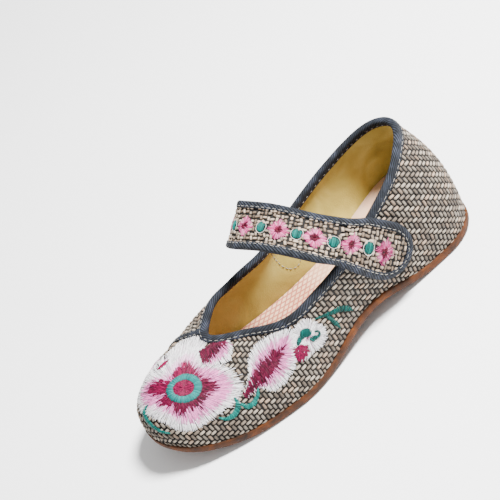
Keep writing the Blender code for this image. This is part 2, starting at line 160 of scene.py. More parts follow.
# Footbed
# A thin peach cloth glued over the hidden wedge. It carries a woven lattice
# of red-brown lines from the toes to the waist and is plain at the heel.
# peach cotton: soft and matt, its lattice lines stand a little proud
footbed_cloth, tree, shader = material(
    "woven_peach_cotton", 0.9, Sheen_Weight=0.15, Sheen_Roughness=0.5)
place = add(tree, "TexCoord")["Object"]
lines = []
for turn in (0.50, -0.62):
    # lattice lines 3.4 mm apart
    turned = add(tree, "Mapping", {"Vector": place, "Rotation": (0, 0, turn)})
    wave = add(tree, "TexWave", {"Vector": turned["Vector"], "Scale": 92.0,
                                 "Distortion": 0.35, "Detail": 1.0})["Fac"]
    lines.append(add(tree, "MapRange", {"Value": wave, 1: 0.62, 2: 0.88})[0])
lattice = add(tree, "Math", {0: lines[0], 1: lines[1]}, operation="MAXIMUM")[0]
depth = add(tree, "SeparateXYZ", {"Vector": place})["Y"]
front = add(tree, "MapRange", {"Value": depth, 1: 0.040, 2: 0.012})["Result"]
lattice = add(tree, "Math", {0: lattice, 1: front}, operation="MULTIPLY")[0]
soft = add(tree, "TexNoise", {"Vector": place, "Scale": 60.0,
                              "Detail": 4.0})["Fac"]
peach = add(tree, "ValToRGB", {"Fac": soft}, ramp=(
    (0.3, "#CFA07C"), (0.7, "#E2BC9A")))["Color"]
peach = add(tree, "Mix", {0: lattice, 6: peach, 7: colour("#A9604A")},
            data_type="RGBA")[2]
yarn = add(tree, "TexVoronoi", {"Vector": place, "Scale": 1500.0})["Distance"]
relief = add(tree, "Math", {0: yarn, 1: lattice}, operation="ADD")[0]
dress(tree, shader, peach, (relief, 0.0003, 0.7))
bed = put("peach_footbed", merged("insole"), [footbed_cloth], ["insole"])

# Lined wall
# The straw weave is woven over a black ground and backed with a stiffener;
# inside, the whole shoe is lined with ochre cotton, glued down smooth.
# ground cloth: near black, dull, seen only in the gaps between the straws
ground, tree, shader = material("black_ground_cloth", 0.95)
place = add(tree, "TexCoord")["Object"]
fleck = add(tree, "TexNoise", {"Vector": place, "Scale": 900.0})["Fac"]
dark = add(tree, "ValToRGB", {"Fac": fleck}, ramp=(
    (0.4, "#060403"), (0.75, "#120E0B")))["Color"]
dress(tree, shader, dark, (fleck, 0.0003, 1.0))

# cotton lining: a plain weave of 0.6 mm yarns, faded unevenly by the glue
lining, tree, shader = material("ochre_cotton_lining", 0.85,
                                Sheen_Weight=0.1, Sheen_Roughness=0.5)
place = add(tree, "TexCoord")["Object"]
fade = add(tree, "TexNoise", {"Vector": place, "Scale": 38.0, "Detail": 4.0,
                              "Distortion": 0.8})["Fac"]
ochre = add(tree, "ValToRGB", {"Fac": fade}, ramp=(
    (0.30, "#988634"), (0.72, "#C8B866"), (0.5, "#AE9C46")))["Color"]
yarn = add(tree, "TexVoronoi", {"Vector": place, "Scale": 1300.0})["Distance"]
crease = add(tree, "TexNoise", {"Vector": place, "Scale": 55.0})["Fac"]
dress(tree, shader, ochre, (crease, 0.0015, 0.25), (yarn, 0.00025, 0.45))


def lined(solid):
    """A copy of a solid, with its second finish on what faces the foot."""
    form = merged(solid)
    for face in form.faces:
        middle = face.calc_center_median()
        within = Vector((0.0, min(max(middle.y, -0.075), 0.075), 0.030))
        face.material_index = int(face.normal.dot(within - middle) > 0)
    return form


walls = put("lined_wall", lined("upper"), [ground, lining], ["upper"])

# Straw weave
# Flat straw-coloured ribbons are woven aslant over the ground in rows that
# lean left and right by turns. The cloth is cut on the bias, so that its rows
# fall backwards along both sides of the shoe.
# The last's sizes are the solids' own, in millimetres from the toe tip; they
# place each straw, and later each stitch and tape, on the cloth.
MM = 0.001
GAP = 0.3
LENGTH = 245.0
BALL_HALF = 44.5
TOE_ROUND, HEEL_ROUND = 0.20, 0.135
SOLE_THICK = 5.9
TOE_SPRING, SPRING_END = 15.5, 0.26
ARCH_RISE, ARCH_FRONT, ARCH_BACK = 9.4, 0.40, 0.82
EDGE_LIP = 1.3
WALL = 2.0
THROAT, BACK = 67.0, 232.8
OPEN_HALF = 33.0
BACK_HEIGHT = 84.2
THROAT_ROUND, BACK_ROUND = 0.30, 0.20
FAN = 0.0485
HEEL_SWELL, TOE_REACH = 5.6, 42.2

# share of length, middle, half width
OUTLINE = np.array([
    (0.00, -0.083, 0.794), (0.05, -0.057, 0.826), (0.12, -0.037, 0.855),
    (0.20, -0.007, 0.933), (0.28, 0.024, 0.999), (0.36, 0.067, 1.004),
    (0.45, 0.083, 0.910), (0.55, 0.101, 0.780), (0.65, 0.087, 0.702),
    (0.75, 0.065, 0.705), (0.85, 0.027, 0.726), (1.00, 0.007, 0.735),
])
# share of opening, middle, half width, outer height, inner height
COLLAR = np.array([
    (0.000, -0.199, 0.542, 0.565, 0.565), (0.100, -0.196, 0.707, 0.544, 0.604),
    (0.200, -0.030, 0.910, 0.553, 0.592), (0.370, 0.066, 1.004, 0.615, 0.603),
    (0.530, 0.031, 1.006, 0.670, 0.698), (0.700, -0.031, 0.905, 0.754, 0.804),
    (0.855, -0.028, 0.805, 0.880, 0.895), (0.950, -0.024, 0.757, 0.972, 0.968),
    (1.000, -0.013, 0.754, 1.000, 1.000),
])
# share of length, swell, height of the swell, reach, drop
SWELL = np.array([
    (0.00, 0.20, 1.00, 1.00, 0.24), (0.06, 0.09, 0.63, 0.80, 0.32),
    (0.15, 0.16, 0.55, 0.53, 0.24), (0.28, 0.18, 0.46, 0.26, 0.22),
    (0.40, 0.18, 0.42, 0.17, 0.26), (0.55, 0.00, 0.39, 0.12, 0.30),
    (0.70, 0.00, 0.37, 0.12, 0.33), (0.85, 0.36, 0.37, 0.15, 0.34),
    (0.95, 0.73, 0.42, 0.19, 0.33), (1.00, 1.00, 0.50, 0.21, 0.31),
])


def curve(table, column, at):
    """Smooth value of a table's column, its first column being the place."""
    place, value = table[:, 0], table[:, column]
    slope = np.gradient(value, place)
    at = np.clip(at, place[0], place[-1])
    low = np.searchsorted(place, at, side="right") - 1
    low = np.clip(low, 0, len(place) - 2)
    step = place[low + 1] - place[low]
    u = (at - place[low]) / step
    start = value[low] * (1 + 2 * u) * (1 - u) ** 2
    end = value[low + 1] * u * u * (3 - 2 * u)
    bend = slope[low] * u * (1 - u) ** 2 - slope[low + 1] * u * u * (1 - u)
    return start + end + step * bend


def closing(share, reach, power):
    """Goes from 0 to 1 within the reach, as a rounded end does."""
    rest = 1 - np.clip(share / reach, 0, 1)
    return (1 - rest ** power) ** (1 / power)


def unit(vectors):
    return vectors / np.linalg.norm(vectors, axis=-1, keepdims=True)


def outer_side(s):
    return np.where(s % 1.0 <= 0.5, 1.0, -1.0)


def outline(s):
    """Edge of the sole: s runs from the toe by the outer side to the heel."""
    a = (1 - np.cos(2 * np.pi * s)) / 2
    ends = closing(a, TOE_ROUND, 2.3) * closing(1 - a, HEEL_ROUND, 2.1)
    half = curve(OUTLINE, 2, a) * ends
    x = BALL_HALF * (curve(OUTLINE, 1, a) + outer_side(s) * half)
    return np.stack([x, a * LENGTH], -1)


def floor_lift(y):
    """Height of the sole's underside."""
    share = y / LENGTH
    toe = np.clip((SPRING_END - share) / SPRING_END, 0, 1) ** 2
    waist = (share - ARCH_FRONT) / (ARCH_BACK - ARCH_FRONT)
    arch = np.sin(np.pi * np.clip(waist, 0, 1)) ** 2
    return TOE_SPRING * toe + ARCH_RISE * arch


def collar(s):
    """Top edge of the cloth around the opening."""
    fanned = s - FAN * np.sin(2 * np.pi * s)
    q = (1 - np.cos(2 * np.pi * fanned)) / 2
    ends = closing(q, THROAT_ROUND, 2.0) * closing(1 - q, BACK_ROUND, 2.0)
    side = outer_side(s)
    x = OPEN_HALF * (curve(COLLAR, 1, q) + side * curve(COLLAR, 2, q) * ends)
    outer, inner = curve(COLLAR, 3, q), curve(COLLAR, 4, q)
    z = BACK_HEIGHT * np.where(side > 0, outer, inner)
    return np.stack([x, THROAT + (BACK - THROAT) * q, z], -1)


def wall(s, w):
    """Outer face of the cloth: w is 0 at the sole and 1 at the collar."""
    s, w = np.broadcast_arrays(np.asarray(s, float), np.asarray(w, float))
    a = (1 - np.cos(2 * np.pi * s)) / 2
    run = outline(s + 1e-4) - outline(s - 1e-4)
    out = unit(np.stack([run[..., 1], -run[..., 0]], -1))
    level = outline(s) - EDGE_LIP * out
    z = floor_lift(level[..., 1]) + SOLE_THICK + GAP
    foot = np.concatenate([level, z[..., None]], -1)
    top = collar(s)
    tall = top[..., 2] - z
    swell, high, reach, drop = (curve(SWELL, k, a) for k in (1, 2, 3, 4))
    lower, upper = foot.copy(), top.copy()
    lower[..., :2] += out * (swell * HEEL_SWELL)[..., None]
    lower[..., 2] += high * tall
    upper[..., :2] += out * (reach * TOE_REACH)[..., None]
    upper[..., 2] -= drop * tall
    w = w[..., None]
    v = 1 - w
    return (foot * v ** 3 + 3 * lower * w * v * v
            + 3 * upper * w * w * v + top * w ** 3)


def wall_out(s, w):
    """Direction straight out of the cloth."""
    e = 1e-4
    around = wall(s + e, w) - wall(s - e, w)
    up = wall(s, w + e) - wall(s, w - e)
    return unit(np.cross(around, up))


# the cloth's millimetres turned to the frame's metres
ring = np.arange(96) / 96
sole_low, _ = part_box("outsole")
SHIFT = np.array([outline(ring)[:, 0].min() - sole_low.x / MM,
                  -sole_low.y / MM, 0.0])


def to_frame(points):
    return (np.asarray(points) - SHIFT) * MM


# The outer panel runs from the toe seam round the toe and the outer side to
# the heel, and the inner panel from the heel to the seam. Each is laid flat
# along its weave, so that every straw and stitch keeps its real size.
SEAM_TOP, SEAM_FOOT = 0.955, 0.852
BIAS = np.array([-0.3705, 0.6491, 0.6644])


def seam_station(w):
    return SEAM_FOOT + (SEAM_TOP - SEAM_FOOT) * w ** 1.25


def laid_flat(first, last, up):
    """Lays the wall between two stations flat along the rows of its weave.

    The rows lie square to the direction "up" all over the panel. Gives the
    panel's corner and, for every flat millimetre, the station, w, distance
    below the collar, distance from the first edge and distance outside.
    """
    columns, rows = 64, 12
    w = np.linspace(0, 1, rows)
    share = np.linspace(0, 1, columns)[:, None]
    s = first(w) * (1 - share) + last(w) * share
    w = np.broadcast_to(w, s.shape)
    cloth = wall(s, w)
    number = np.arange(columns * rows).reshape(columns, rows)
    a, b = number[:-1, :-1].ravel(), number[1:, :-1].ravel()
    c, d = number[1:, 1:].ravel(), number[:-1, 1:].ravel()
    thirds = np.concatenate([np.stack([a, b, c], 1), np.stack([a, c, d], 1)])
    p = cloth.reshape(-1, 3)[thirds]
    one, two = p[:, 1] - p[:, 0], p[:, 2] - p[:, 0]
    out = np.cross(one, two)
    area = np.linalg.norm(out, axis=1, keepdims=True)
    out = out / area
    row = unit(np.cross(up, out))
    rise = np.cross(out, row)
    # how a flat place changes across each third of the cloth
    slope = np.stack([np.cross(out, two - one), np.cross(two, out),
                      np.cross(out, one)], 1) / area[..., None]
    size = columns * rows
    block = area[..., None] * slope @ slope.transpose(0, 2, 1)
    sums = 1e-6 * np.eye(size)
    np.add.at(sums, (thirds[:, :, None], thirds[:, None]), block)
    aim = np.stack([row, rise], -1)
    wanted = np.zeros((size, 2))
    np.add.at(wanted, thirds, area[..., None] * slope @ aim)
    flat = np.linalg.solve(sums, wanted)
    tall = np.linalg.norm(np.diff(cloth, axis=1), axis=2)[:, ::-1]
    below = np.pad(np.cumsum(tall, 1), ((0, 0), (1, 0)))[:, ::-1]
    steps = np.linalg.norm(np.diff(cloth, axis=0), axis=2)
    beside = np.pad(np.cumsum(steps, 0), ((1, 0), (0, 0)))
    known = np.stack([s, w, below, beside], -1).reshape(-1, 4)
    tree = BVHTree.FromPolygons([(x, y, 0) for x, y in flat], thirds.tolist())
    corner = np.floor(flat.min(0)) - 3
    span = np.ceil(flat.max(0) - corner).astype(int) + 4
    table = np.zeros((*span, 5))
    for i in range(span[0]):
        for j in range(span[1]):
            spot = (corner[0] + i, corner[1] + j, 0)
            near, _, which, gone = tree.find_nearest(spot)
            third = thirds[which]
            (x0, y0), (x1, y1), (x2, y2) = flat[third]
            x, y = near.x - x0, near.y - y0
            det = (x1 - x0) * (y2 - y0) - (x2 - x0) * (y1 - y0)
            u = (x * (y2 - y0) - (x2 - x0) * y) / det
            v = ((x1 - x0) * y - x * (y1 - y0)) / det
            table[i, j, :4] = known[third].T @ (1 - u - v, u, v)
            table[i, j, 4] = gone
    return corner, table


def looked_up(panel, x, y):
    """Station, w, below, beside and outside at flat places of a panel."""
    corner, table = panel
    i = np.clip(np.asarray(x) - corner[0], 0, table.shape[0] - 1.001)
    j = np.clip(np.asarray(y) - corner[1], 0, table.shape[1] - 1.001)
    i0, j0 = i.astype(int), j.astype(int)
    u, v = (i - i0)[..., None], (j - j0)[..., None]
    low = table[i0, j0] * (1 - u) + table[i0 + 1, j0] * u
    high = table[i0, j0 + 1] * (1 - u) + table[i0 + 1, j0 + 1] * u
    return np.moveaxis(low * (1 - v) + high * v, -1, 0)


def lay_on(panel):
    """Function that lays flat places and a height on a panel of the shoe."""
    def lay(x, y, height):
        s, w = looked_up(panel, x, y)[:2]
        return to_frame(wall(s, w) + wall_out(s, w) * height[..., None])
    return lay


outer_panel = laid_flat(lambda w: seam_station(w) - 1,
                        lambda w: 0.5 + 0 * w, BIAS)
inner_panel = laid_flat(lambda w: 0.5 + 0 * w, seam_station,
                        BIAS * (-1, 1, 1))


def points_of(form):
    """The corners of a small form, in millimetres."""
    form.verts.index_update()
    return np.array([v.co for v in form.verts])


def strewn(name, form, places, dyes, finish, grain=1.0):
    """One piece made of many copies of a small form, each with its own dye.

    The small form's own x and y in millimetres become its UV map, moved by
    chance on each copy so that the grain never repeats. The dye is painted
    darker down the sides of the form and darkest at its foot, as painted
    shade where strands shade one another.
    """
    local = points_of(form)
    # painted shade: the lower a point lies in its form, the darker its dye is
    # painted
    shade = (local[:, 2] - local[:, 2].min()) / np.ptp(local[:, 2])
    shade = 0.05 + 0.95 * shade ** 1.8
    corners = [[v.index for v in face.verts] for face in form.faces]
    form.free()
    count, size = places.shape[:2]
    faces = [[k * size + c for c in face]
             for k in range(count) for face in corners]
    mesh = bpy.data.meshes.new(name)
    mesh.from_pydata(places.reshape(-1, 3).tolist(), [], faces)
    mesh.materials.append(finish)
    around = np.array([c for face in corners for c in face])
    moved = chance.uniform(0, 40, (count, 1, 2))
    uv = (local[around, :2][None] * grain + moved).astype(np.float32)
    mesh.uv_layers.new(name="grain").data.foreach_set("uv", uv.ravel())
    dyes = dyes[:, None] * shade[:, None]
    dyed(mesh, np.concatenate([dyes, np.ones_like(dyes[..., :1])], -1))
    mesh.shade_smooth()
    mesh.update()
    return shown(name, mesh)


# straw ribbon: flat plant fibre, matt with a faint gloss along its fibres
straw, tree, shader = material("woven_straw_ribbon", 0.6, IOR=1.5,
                               Specular_IOR_Level=0.25)
# the dye attribute carries each ribbon's dye with its painted shade multiplied
# in
dye = add(tree, "Attribute", attribute_name="dye")["Color"]
grain = add(tree, "UVMap", uv_map="grain")["UV"]
# fibres 0.28 mm apart, drawn along each ribbon
fibre = add(tree, "Mapping", {"Vector": grain, "Scale": (0.35, 3.6, 1.0)})
fibre = add(tree, "TexNoise", {"Vector": fibre["Vector"], "Scale": 1.0,
                               "Detail": 3.0, "Roughness": 0.6})["Fac"]
shade = add(tree, "MapRange", {"Value": fibre, 1: 0.25, 2: 0.75,
                               3: 0.70, 4: 1.16})["Result"]
tint = add(tree, "Mix", {0: 1.0, 6: dye, 7: shade},
           data_type="RGBA", blend_type="MULTIPLY")[2]
dress(tree, shader, tint, (fibre, 0.00025, 0.8))

RIBBON = (3.75, 1.72, 0.65)
ROW_PITCH, RIBBON_PITCH = 3.5, 3.3
LEAN = np.radians(47)
# a ribbon may reach past its panel, and starts a little under the tape
PAST_EDGE, UNDER_TAPE = 1.7, 4.2


def ribbon_form(length, width, thick):
    """One visible length of ribbon, crowned and tucked down at its ends."""
    form = bmesh.new()
    bmesh.ops.create_grid(form, x_segments=4, y_segments=3, size=0.5)
    rim = [e for e in form.edges if e.is_boundary]
    grown = bmesh.ops.extrude_edge_only(form, edges=rim)["geom"]
    skirt = [v for v in grown if isinstance(v, bmesh.types.BMVert)]
    for vert in form.verts:
        x, y = vert.co.x * 2, vert.co.y * 2
        crown = (1 - 0.45 * abs(x) ** 4) * (1 - 0.45 * abs(y) ** 2.6)
        slim = 1 - 0.10 * max(0, abs(x) - 0.5) * 2
        vert.co = (x * length / 2 * (1 - 0.03 * abs(y) ** 4),
                   y * width / 2 * slim, thick * crown)
    for vert in skirt:
        vert.co.z = -0.2
    edge = [e for e in form.edges if e.is_boundary]
    bmesh.ops.holes_fill(form, edges=edge, sides=0)
    bmesh.ops.recalc_face_normals(form, faces=form.faces)
    return form


def stretched(x):
    """Pulls the rows long at the waist, where the last is slimmest."""
    return x + 5.5 * np.tanh((x - 38) / 20)


def inside(x, y, loop):
    """Whether places lie within a closed loop."""
    within = np.zeros(np.shape(x), bool)
    for (x0, y0), (x1, y1) in zip(loop, np.roll(loop, -1, axis=0)):
        if y0 != y1:
            cuts = (y0 > y) != (y1 > y)
            within ^= cuts & (x < (x1 - x0) * (y - y0) / (y1 - y0) + x0)
    return within


def weave(name, panel, bare, stretch):
    """Rows of ribbons over a panel, but not under its embroidery."""
    corner, table = panel
    low, high = corner, corner + table.shape[:2]
    rows = np.arange(np.floor(low[1] / ROW_PITCH), high[1] / ROW_PITCH)
    places = np.arange(np.floor(low[0] / RIBBON_PITCH) - 6,
                       high[0] / RIBBON_PITCH + 6)
    row, place = np.meshgrid(rows, places, indexing="ij")
    odd = (row % 2).ravel()
    x = place.ravel() * RIBBON_PITCH + odd * RIBBON_PITCH / 2
    y = (row.ravel() + 0.5) * ROW_PITCH
    x = x + chance.normal(0, 0.10, len(x))
    y = y + chance.normal(0, 0.08, len(x))
    _, _, below, _, gone = looked_up(panel, stretch(x), y)
    keep = (gone < PAST_EDGE) & (below > UNDER_TAPE)
    for loop in bare:
        keep &= ~inside(stretch(x), y, loop)
    x, y, odd = x[keep], y[keep], odd[keep]
    form = ribbon_form(*RIBBON)
    local = points_of(form)
    count = len(x)
    turn = np.where(odd > 0, -LEAN, LEAN) + chance.normal(0, 0.045, count)
    long = chance.normal(1.0, 0.05, (count, 1)) * local[:, 0]
    wide = chance.normal(1.0, 0.05, (count, 1)) * local[:, 1]
    high = local[:, 2] + chance.normal(0, 0.05, (count, 1))
    cos, sin = np.cos(turn)[:, None], np.sin(turn)[:, None]
    flat_x = stretch(x[:, None] + cos * long - sin * wide)
    flat_y = y[:, None] + sin * long + cos * wide
    spots = lay_on(panel)(flat_x, flat_y, high)
    tone = np.array([colour(c)[:3] for c in ("#A79A8A", "#7D6F61", "#AE957F")])
    dyes = tone[chance.choice(3, count, p=(0.45, 0.35, 0.20))]
    dyes = dyes * chance.normal(0.97, 0.09, (count, 1))
    # painted shade: every other row lies across the light and looks darker, so
    # its dye is painted darker
    dyes = dyes * np.where(odd > 0, 0.52, 0.94)[:, None]
    return strewn(name, form, spots, dyes, straw)

# Toe embroidery
# Silk floss satin and long-and-short stitches: a big bloom over the toe with
# a padded ring, a bud with a long crimson throat, a small scrolled bloom and
# a few leaves. They were sewn before the cloth was shaped.
# floss: bright silk that glosses along its strands
floss, tree, shader = material("silk_embroidery_floss", 0.5, IOR=1.45,
                               Specular_IOR_Level=0.25)
# the dye attribute carries each stitch's dye with its painted shade multiplied
# in
dye = add(tree, "Attribute", attribute_name="dye")["Color"]
grain = add(tree, "UVMap", uv_map="grain")["UV"]
ply = add(tree, "Mapping", {"Vector": grain, "Scale": (0.8, 9.0, 1.0)})
ply = add(tree, "TexNoise", {"Vector": ply["Vector"], "Scale": 1.0,
                             "Detail": 2.0})["Fac"]
shade = add(tree, "MapRange", {"Value": ply, 1: 0.25, 2: 0.75,
                               3: 0.86, 4: 1.06})["Result"]
tint = add(tree, "Mix", {0: 1.0, 6: dye, 7: shade},
           data_type="RGBA", blend_type="MULTIPLY")[2]
dress(tree, shader, tint, (ply, 0.00015, 0.6))

CRIMSON, ROSE = colour("#760038"), colour("#EE86C2")
BLUSH, WHITE = colour("#FACAE6"), colour("#F7F3F6")
# the first of these is a greyed pink for the pads under the pale petals,
# darker than the petals as painted shade between their stitches; the second is
# dark wine for the pads under the crimson
PAD_SHADE_PINK, WINE = colour("#B497A8"), colour("#30021C")
TEAL = colour("#00665E")


def thread_form():
    """One stitch along x from 0 to 1, thinner where it dives in."""
    form = bmesh.new()
    bmesh.ops.create_cone(form, cap_ends=True, segments=4, radius1=0.5,
                          radius2=0.5, depth=1.0,
                          matrix=Matrix.Rotation(np.pi / 2, 4, "Y"))
    for cut in (-0.36, 0.0, 0.36):
        bmesh.ops.bisect_plane(form, geom=form.verts[:] + form.edges[:]
                               + form.faces[:], plane_co=(cut, 0, 0),
                               plane_no=(1, 0, 0))
    for vert in form.verts:
        thin = 0.55 if abs(vert.co.x) > 0.45 else 1.0
        vert.co = (vert.co.x + 0.5, vert.co.y * thin, vert.co.z * thin)
    bmesh.ops.recalc_face_normals(form, faces=form.faces)
    return form


def sewn(name, lay, starts, ends, dyes, width, height, lift):
    """Stitches from starts to ends, laid on cloth, arched by their lift."""
    lift = np.broadcast_to(lift, len(starts))
    form = thread_form()
    local = points_of(form)
    way = ends - starts
    length = np.linalg.norm(way, axis=1, keepdims=True)
    side = np.stack([-way[:, 1], way[:, 0]], -1) / np.maximum(length, 1e-6)
    share = local[:, 0]
    spot = (starts[:, None] + way[:, None] * share[:, None]
            + side[:, None] * (local[:, 1] * width)[:, None])
    arch = np.sin(np.pi * np.clip(share, 0, 1))
    high = (height + lift[:, None] * arch + local[:, 2] * width * 0.8
            + chance.normal(0, 0.09, (len(lift), 1)))
    places = lay(spot[..., 0], spot[..., 1], high)
    # dark silk shows its strands apart, pale silk hardly does
    spread = np.where(dyes.min(1) < 0.01, 0.38, 0.17)[:, None]
    dyes = dyes * (0.95 + spread * chance.normal(0, 1, (len(dyes), 1)))
    return strewn(name, form, places, np.clip(dyes, 0, 1), floss, 2.0)


def distance(points):
    """How far along a line each of its points lies."""
    run = np.linalg.norm(np.diff(points, axis=0), axis=1)
    return np.concatenate([[0], np.cumsum(run)])


def along_loop(table, step):
    """Even steps along the outer edge of a motif's table.

    A row holds the heart x and y of its stitches, where they end on the
    motif's edge, and how far the crimson and the rose reach.
    """
    rows = np.concatenate([table, table[:1]])
    edge = distance(rows[:, 2:4])
    at = np.arange(0, edge[-1], step)
    return np.stack([np.interp(at, edge, rows[:, k]) for k in range(6)], -1)


def polar(x, y, rows):
    """A round motif's table from rows of angle, crimson, rose and edge."""
    angle, crimson, rose, edge = np.array(rows, float).T
    angle = np.radians(angle)
    same = np.ones_like(angle)
    return np.stack([x * same, y * same, x + edge * np.cos(angle),
                     y + edge * np.sin(angle), crimson, rose], -1)


def joined(rows):
    """Rows of arrays, put end to end."""
    return [np.concatenate(part) for part in zip(*rows)]


def petals(table, hollow=0.0, step=0.46):
    """Long-and-short stitches of a motif, shaded from its heart outwards."""
    stitches = []
    # two layers, so that no pad shows between the stitches
    for _ in range(2):
        rows = along_loop(table, step)
        heart, edge = rows[:, :2], rows[:, 2:4]
        crimson, rose = rows[:, 4], rows[:, 5]
        count = len(rows)
        far = np.linalg.norm(edge - heart, axis=1)
        way = (edge - heart) / np.maximum(far, 0.01)[:, None]
        lean = chance.normal(0, 0.05, count)
        way = way + lean[:, None] * np.stack([-way[:, 1], way[:, 0]], -1)
        begin = hollow + chance.uniform(-1.8, 1.0, count)
        # one stitch after the other, overlapping, until the edge is reached
        for _ in range(9):
            length = chance.uniform(3.2, 6.5, count)
            ragged = far + chance.normal(0, 0.8, count)
            stop = np.minimum(begin + length, ragged)
            fits = (stop - begin > 0.9) & (chance.random(count) < 0.80)
            middle = begin * 0.45 + stop * 0.55
            blur = chance.normal(0, 1.0, count)
            pale = (far - middle) / np.maximum(far - rose, 0.1)
            dye = np.where((pale > 0.75)[:, None], BLUSH[:3], WHITE[:3])
            dye = np.where((middle + blur < rose)[:, None], ROSE[:3], dye)
            dye = np.where((middle + blur * 1.2 < crimson)[:, None],
                           CRIMSON[:3], dye)
            stitches.append(((heart + way * begin[:, None])[fits],
                             (heart + way * stop[:, None])[fits], dye[fits]))
            begin = stop - chance.uniform(0.6, 1.4, count)
    return joined(stitches)


def satin(path, slant=0.25):
    """Close stitches across a leaf; rows of x, y and width along it."""
    step = 0.42
    path = np.array(path, float)
    run = distance(path[:, :2])
    at = np.arange(0, run[-1], step)
    x, y, width = (np.interp(at, run, path[:, k]) for k in range(3))
    way = unit(np.stack([np.gradient(x), np.gradient(y)], -1))
    side = np.stack([-way[:, 1], way[:, 0]], -1) + way * slant
    half = (width * chance.normal(0.5, 0.03, len(at)))[:, None]
    spot = np.stack([x, y], -1)
    return spot - side * half, spot + side * half


BLOOM_HEART = (-60.9, -48.3)
TOE_BLOOM = polar(*BLOOM_HEART, [
    (5, 19.5, 27, 34), (20, 17, 26, 30), (38, 12, 21, 24), (52, 10.8, 17, 21),
    (68, 12.5, 15, 21), (80, 13, 15, 23), (92, 15, 16.5, 35),
    (113, 18.5, 20.5, 40), (130, 16, 17.5, 40), (148, 13.8, 15.5, 38),
    (160, 11.5, 15, 36), (168, 17, 22, 35), (178, 23, 28, 34),
    (187, 25.8, 30, 33.5), (196, 22, 29, 33), (203, 15, 27, 31),
    (209, 11.5, 24, 30), (221, 16.5, 19, 26), (235, 15.2, 17, 23),
    (248, 12.5, 16.5, 22.5), (262, 14.6, 18, 24), (273, 15.6, 19.5, 25.5),
    (290, 13.8, 22, 25.5), (306, 14.3, 21.5, 24.5), (320, 15.3, 21, 24.5),
    (335, 13.5, 23, 26.5), (350, 16, 26, 32),
])
BUD = np.array([
    (-25.4, -51.7, -26.1, -50.6, 2.0, 2.0),
    (-22.4, -47.4, -23.6, -44.6, 3.2, 3.2),
    (-20.5, -44.6, -23.5, -38.8, 4.6, 5.2),
    (-18.2, -41.3, -24.0, -32.5, 5.2, 7.5),
    (-15.1, -36.8, -24.2, -27.0, 5.6, 9.0),
    (-12.5, -33.0, -21.9, -20.7, 5.6, 10.0),
    (-10.5, -30.0, -17.3, -17.4, 5.0, 9.5),
    (-8.5, -27.0, -12.5, -15.0, 4.0, 8.5),
    (-7.0, -25.0, -8.0, -12.8, 2.5, 8.0),
    (-5.9, -23.4, -4.0, -11.2, 1.5, 8.0),
    (-4.5, -21.5, -0.8, -10.5, 1.0, 7.5),
    (-4.5, -21.8, 1.8, -15.0, 1.0, 6.0),
    (-5.5, -23.2, 2.9, -20.4, 1.5, 6.0),
    (-7.5, -26.0, 3.2, -28.4, 3.0, 8.0),
    (-9.5, -29.0, 2.3, -33.2, 4.5, 9.0),
    (-12.0, -32.3, -1.6, -41.0, 5.5, 9.5),
    (-14.5, -36.0, -8.1, -47.2, 5.5, 9.0),
    (-16.8, -39.3, -12.8, -46.1, 5.0, 6.5),
    (-19.0, -42.5, -17.2, -45.5, 3.6, 3.6),
    (-22.0, -47.0, -20.6, -48.6, 2.4, 2.4),
    (-25.0, -51.2, -24.4, -52.0, 2.0, 2.0),
])
SIDE_PETAL = np.array([
    (-57.0, -25.5, -53.0, -32.0, 7.5, 7.8),
    (-54.0, -22.8, -47.3, -32.9, 8.6, 11.0),
    (-50.5, -20.5, -41.2, -31.2, 6.0, 11.0),
    (-47.0, -19.0, -37.2, -29.3, 4.6, 10.0),
    (-43.5, -18.2, -37.6, -21.3, 2.2, 5.0),
    (-43.5, -18.2, -42.0, -16.6, 1.0, 1.2),
    (-47.5, -20.5, -48.0, -17.4, 9.0, 9.0),
    (-52.0, -23.5, -53.8, -19.6, 9.0, 9.0),
    (-56.0, -26.5, -59.0, -24.0, 9.0, 9.0),
])
SCROLL_BLOOM = polar(9.5, -15.0, [
    (0, 0, 0, 12.5), (30, 0, 0, 11.5), (60, 0, 0, 9.5), (85, 0, 0, 10),
    (110, 0, 0, 10), (140, 0, 0, 9), (175, 0, 0, 8.5), (205, 0, 0, 9),
    (235, 0, 0, 10.5), (255, 0, 0, 13.5), (275, 0, 0, 12), (300, 0, 0, 9.5),
    (330, 0, 0, 11),
])
SPOT = polar(6.0, -23.2, [
    (0, 9, 9, 4.6), (20, 9, 9, 3.4), (40, 9, 9, 4.4), (65, 9, 9, 3.2),
    (90, 9, 9, 3.6), (140, 9, 9, 3.4), (180, 9, 9, 3.4), (225, 9, 9, 3.8),
    (265, 9, 9, 6.0), (285, 9, 9, 5.4), (305, 9, 9, 3.8), (325, 9, 9, 5.0),
    (340, 9, 9, 3.6),
])
INNER_SPOT = polar(-85.5, -34.5, [
    (10, 9, 9, 1.4), (60, 9, 9, 3.4), (130, 9, 9, 1.4), (190, 9, 9, 1.4),
    (240, 9, 9, 3.4), (310, 9, 9, 1.4),
])
INNER_PETAL = polar(-103.0, -36.0, [
    (0, 4, 7, 10), (60, 3.4, 6, 8), (120, 3.4, 6, 7.5), (180, 4, 7, 9),
    (240, 3.4, 6, 8.5), (300, 3.4, 6, 9.5),
])
